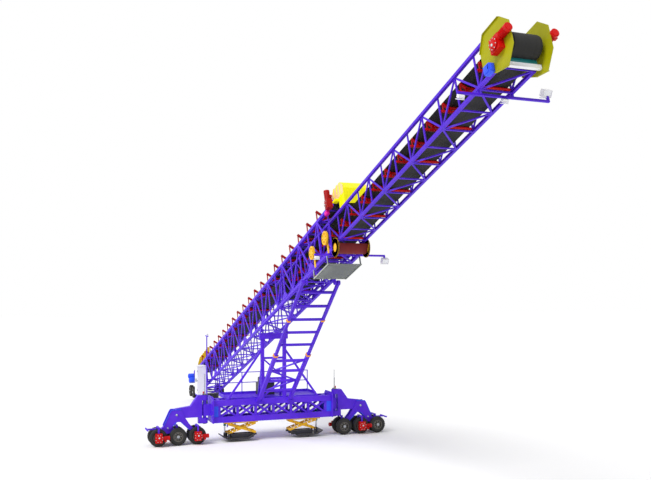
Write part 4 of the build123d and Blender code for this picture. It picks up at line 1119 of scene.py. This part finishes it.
@dataclass
class Cabinet(SubAssembly):
    """Doors, hinges, handle, roof and mast lamp of the control cabinet."""

    x: float = 2.3373
    y: float = -1.25
    wide: float = 0.70
    deep: float = 0.55
    low: float = 0.96
    high: float = 2.68
    hinge_heights: Triple = (1.25, 1.82, 2.4)

    def build(self) -> None:
        """Build the cabinet's doors and fittings."""
        face = self.y - self.deep / 2
        door = (self.wide / 2 - 0.012, 0.018, self.high - self.low - 0.06)
        middle = (self.low + self.high) / 2
        doors = [shaped(block(door, (self.x + side * self.wide / 4, face - 0.006, middle)), RIGHTWARD, 0.04,
                        -0.006, 0.004, 1) for side in (-1, 1)]
        roof = block((self.wide + 0.06, self.deep + 0.06, 0.03), (self.x, self.y, self.high + 0.008))
        doors.append(shaped(roof, UP, 0.05, 0.02, 0.006))
        self.fit(doors, "white_cabinet_enamel", "cabinet_doors", "boom", "cabinet_white")
        fittings = [shaped(round_bar(0.012, 0.09, (self.x + side * (self.wide / 2 - 0.01), face - 0.02, z),
                                     Axis.Z, 10), UPRIGHT, 0.003, 0.004)
                    for z in self.hinge_heights for side in (-1, 1)]
        handle = block((0.03, 0.03, 0.22), (self.x + 0.05, face - 0.03, 1.82))
        fittings.append(shaped(handle, RIGHTWARD, 0.006, 0.006, 0.006))
        self.fit(fittings, "graphite_enamel", "cabinet_fittings", "boom", "machine_grey")
        lamp = block((0.22, 0.12, 0.12), (self.x + 0.41, self.y + 0.31, 4.62))
        self.fit([shaped(lamp, FORE, 0.015, -0.012, 0.008)], "white_cabinet_enamel", "mast_lamp", "boom",
                 "cabinet_white")


@dataclass
class Transfer(SubAssembly):
    """Hood ribs and panels, guard rings, wing roll ends, junction box and tail gearmotor."""

    first_idler: float = -13.791
    idler_pitch: float = 1.2045
    idlers: int = 20
    ribs: tuple = ((10.72, 1.90, 2.24), (11.04, 1.90, 2.25), (11.33, 1.36, 2.24))

    def on_boom(self, pieces: list[Piece], colour: str, name: str, slot: str) -> None:
        """Fit pieces that ride on the outer boom, drawn in its frame."""
        self.fit(pieces, colour, name, "boom", slot, BOOM.place)

    def hood(self) -> None:
        """Build the hood's ribs and side panels."""
        ribs = []
        for s, low, high in self.ribs:
            for side in Side:
                rib = block((0.03, 0.028, high - low), (s, side.value * 0.492, (low + high) / 2))
                ribs.append(shaped(rib, ACROSS, 0.004, 0.004))
            if low > 1.5:
                ribs.append(shaped(block((0.03, 0.98, 0.024), (s, 0, 2.260)), UP, 0.004, 0.004))
        self.on_boom(ribs, "bright_yellow_enamel", "hood_ribs", "signal_yellow")
        panels = []
        for side in Side:
            panel = block((1.14, 0.008, 0.50), (11.03, side.value * 0.4865, 1.985))
            for s, lean in ((10.68, -1), (11.36, 1)):
                pick(panel, lambda middle, normal: True)
                bpy.ops.mesh.bisect(plane_co=(s, 0, 2.235), plane_no=(lean * 0.58, 0, 0.81), use_fill=True,
                                    clear_outer=True)
                bpy.ops.object.mode_set(mode="OBJECT")
            panels.append(panel)
        self.on_boom(panels, "peach_panel_enamel", "hood_side_panels", "signal_yellow")

    def rolls(self) -> None:
        """Build the guard's end rings and the wing rolls' ends."""
        rings = []
        for side in Side:
            ring = round_bar(0.28, 0.03, (10.54, side.value * 0.62, -0.03), Axis.Y, 32)
            rings.append(shaped(shaped(ring, ACROSS, 0.05, -0.008), ACROSS, 0.12, 0.006, 0.004, 1))
        self.on_boom(rings, "straw_yellow_enamel", "guard_end_rings", "signal_yellow")
        ends = []
        for index in range(self.idlers):
            s = self.first_idler + index * self.idler_pitch
            for side in Side:
                roll = shaped(round_bar(0.055, 0.26, ORIGIN, Axis.Y, 14), ACROSS, 0.015, 0.008)
                roll.matrix_world = at(s, side.value * 0.55, 1.985) @ turned(
                    side.value * math.radians(35), Axis.X)
                post = block((0.06, 0.03, 0.29), (s, side.value * 0.645, 1.875))
                ends += [roll, shaped(post, ACROSS, 0.01, 0.006)]
        self.on_boom(ends, "oxide_red_enamel", "boom_wing_roll_ends", "idler_red")

    def build(self) -> None:
        """Build the transfer point's and the tail's trim."""
        self.hood()
        self.rolls()
        motor = shaped(block((0.42, 0.34, 0.32), (-16.35, -0.87, 1.06)), RIGHTWARD, 0.05, 0.05, 0.012)
        drum = shaped(round_bar(0.17, 0.34, (-16.35, -0.93, 1.34), Axis.Y, 24), RIGHTWARD, 0.04, 0.03, 0.01)
        self.on_boom([motor, drum], "blue_hinge_enamel", "tail_drum_gearmotor", "bright_blue")
        hanger = shaped(block((0.34, 0.03, 0.80), (-16.35, -0.693, 1.30)), ACROSS, 0.03, -0.006, 0.004, 1)
        self.on_boom([hanger], "violet_machine_enamel", "tail_motor_hanger", "frame_violet")
        box = shaped(block((0.24, 0.12, 0.16), (10.45, -0.745, 1.40)), RIGHTWARD, 0.02, 0.015, 0.008)
        self.on_boom([box], "magenta_box_enamel", "transfer_junction_box", "drive_red")


@dataclass
class Legs(SubAssembly):
    """Amber locking collars of the telescopic legs."""

    foot: Triple = (13.8573, 0.0, 2.05)
    angle: float = math.radians(40.707)
    reach: float = 0.78
    collars: tuple = (("lower", 3.52, 0.080), ("upper", 6.04, 0.060))

    def build(self) -> None:
        """Build the collars on the lower and upper tubes."""
        def around(middle: Vector, normal: Vector) -> bool:
            """Say if a face of a collar is one of its four sides."""
            return ACROSS(middle, normal) or UPRIGHT(middle, normal)

        place = at(*self.foot) @ turned(-self.angle, Axis.Y)
        for name, along, half in self.collars:
            pieces = []
            for side in Side:
                centre = (along, side.value * self.reach, 0)
                collar = block((0.10, 2 * half + 0.036, 2 * half + 0.036), centre)
                pieces.append(shaped(collar, around, 0.02, 0.008, 0.006, 1))
                pin = round_bar(0.022, 2 * half + 0.12, centre, Axis.Y, 16)
                pieces.append(shaped(pin, ACROSS, 0.006, 0.008))
            self.fit(pieces, "amber_collar_enamel", f"leg_{name}_collars", f"leg_{name}", "signal_yellow",
                     place)


@dataclass
class Deck(SubAssembly):
    """Fittings of the power pack and toe boards of the deck."""

    pack: Triple = (12.4873, -0.10, 2.70)
    levers: int = 4

    def build(self) -> None:
        """Build the power pack's fittings and the toe boards."""
        x, y, z = self.pack
        pieces = [
            shaped(round_bar(0.05, 0.06, (x - 0.2, y + 0.3, z + 0.03), Axis.Z, 20), UP, 0.012, 0.012, 0.004),
            shaped(block((0.02, 0.06, 0.30), (x - 0.305, y, z - 0.35)), AFT, 0.008, 0.004, 0.003, 1),
            shaped(block((0.16, 0.24, 0.12), (x + 0.18, y - 0.2, z + 0.06)), UP, 0.02, 0.02, 0.006)]
        for index in range(self.levers):
            lever = round_bar(0.008, 0.14, (x + 0.18, y - 0.29 + 0.06 * index, z + 0.21), Axis.Z, 8)
            pieces.append(shaped(lever, UP, 0.002, 0.01))
        self.fit(pieces, "zinc_plated_steel", "power_pack_fittings", "undercarriage", "drum_steel")
        boards = [shaped(block((1.2, 0.012, 0.12), (12.6, side.value * 2.344, 2.16)), ACROSS, 0.012, 0.002)
                  for side in Side]
        boards.append(shaped(block((0.012, 4.68, 0.12), (11.944, 0, 2.16)), ALONG, 0.012, 0.002))
        self.fit(boards, "violet_machine_enamel", "deck_toe_boards", "undercarriage", "frame_violet")


@dataclass
class Studio:
    """Plain floor, soft light and the camera at the photograph's angle."""

    camera_place: Triple = (51.6373, -11.5, 7.22)
    heading: float = math.atan2(0.9367, 0.3502)
    lens: float = 44.79
    sensor: float = 36.0
    shift: float = 0.0799
    floor_size: float = 400.0
    paper: str = "FFFFFF"
    ambient: float = 0.58
    key_energy: float = 2.3
    key_spread: float = math.radians(30)
    key_from: Triple = (0.40, -0.80, 0.90)

    def floor(self) -> None:
        """Lay the white floor."""
        deselect()
        bpy.ops.mesh.primitive_plane_add(size=self.floor_size, location=(12, 0, 0))
        floor = bpy.context.object
        floor.name = "studio_floor"
        paper, tree = blank("white_studio_paper")
        diffuse = add_node(tree, "ShaderNodeBsdfDiffuse", {"Color": linear(self.paper)})
        add_node(tree, "ShaderNodeOutputMaterial", {"Surface": (diffuse, "BSDF")})
        coat(floor, paper)

    def light(self) -> None:
        """Set the world, white to the camera and to reflections, and the soft key."""
        world = bpy.data.worlds.new("studio_world")
        bpy.context.scene.world = world
        world.use_nodes = True
        tree = world.node_tree
        tree.nodes.clear()
        path = add_node(tree, "ShaderNodeLightPath")
        seen = add_node(tree, "ShaderNodeMath", {0: (path, "Is Camera Ray"), 1: (path, "Is Glossy Ray")},
                        operation="MAXIMUM")
        sky = add_node(tree, "ShaderNodeBackground", {
            "Color": linear(self.paper),
            "Strength": mapped(tree, (seen, "Value"), to_min=self.ambient, to_max=1.0)})
        add_node(tree, "ShaderNodeOutputWorld", {"Surface": (sky, "Background")})
        data = bpy.data.lights.new("soft_key", "SUN")
        data.energy = self.key_energy
        data.angle = self.key_spread
        sun = bpy.data.objects.new("soft_key", data)
        bpy.context.scene.collection.objects.link(sun)
        sun.matrix_world = Vector(self.key_from).to_track_quat("Z", "Y").to_matrix().to_4x4()

    def camera(self) -> None:
        """Set the camera, level and shifted up as a view camera is."""
        data = bpy.data.cameras.new("photo_camera")
        data.lens = self.lens
        data.sensor_width = self.sensor
        data.shift_y = self.shift
        data.clip_end = 500.0
        camera = bpy.data.objects.new("photo_camera", data)
        bpy.context.scene.collection.objects.link(camera)
        camera.location = self.camera_place
        camera.rotation_euler = (QUARTER, 0, self.heading)
        bpy.context.scene.camera = camera

    def build(self) -> None:
        """Set the floor, the light and the camera."""
        self.floor()
        self.light()
        self.camera()
        bpy.context.scene.view_settings.view_transform = "Standard"


def main() -> None:
    """Load the frame, dress it and build every piece."""
    logging.basicConfig(level=logging.INFO, format="%(name)s: %(message)s")
    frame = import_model()
    palette = Palette()
    palette.build()
    Frame(palette).dress(frame)
    for part in (Tyres, Lamps, Head, MotorFins, GearCovers, RockerEdges, Hinges, Cabinet, Transfer, Legs,
                 Deck):
        LOG.info("building %s", part.__name__)
        part(palette).build()
    Studio().build()


if __name__ == "__main__":
    main()
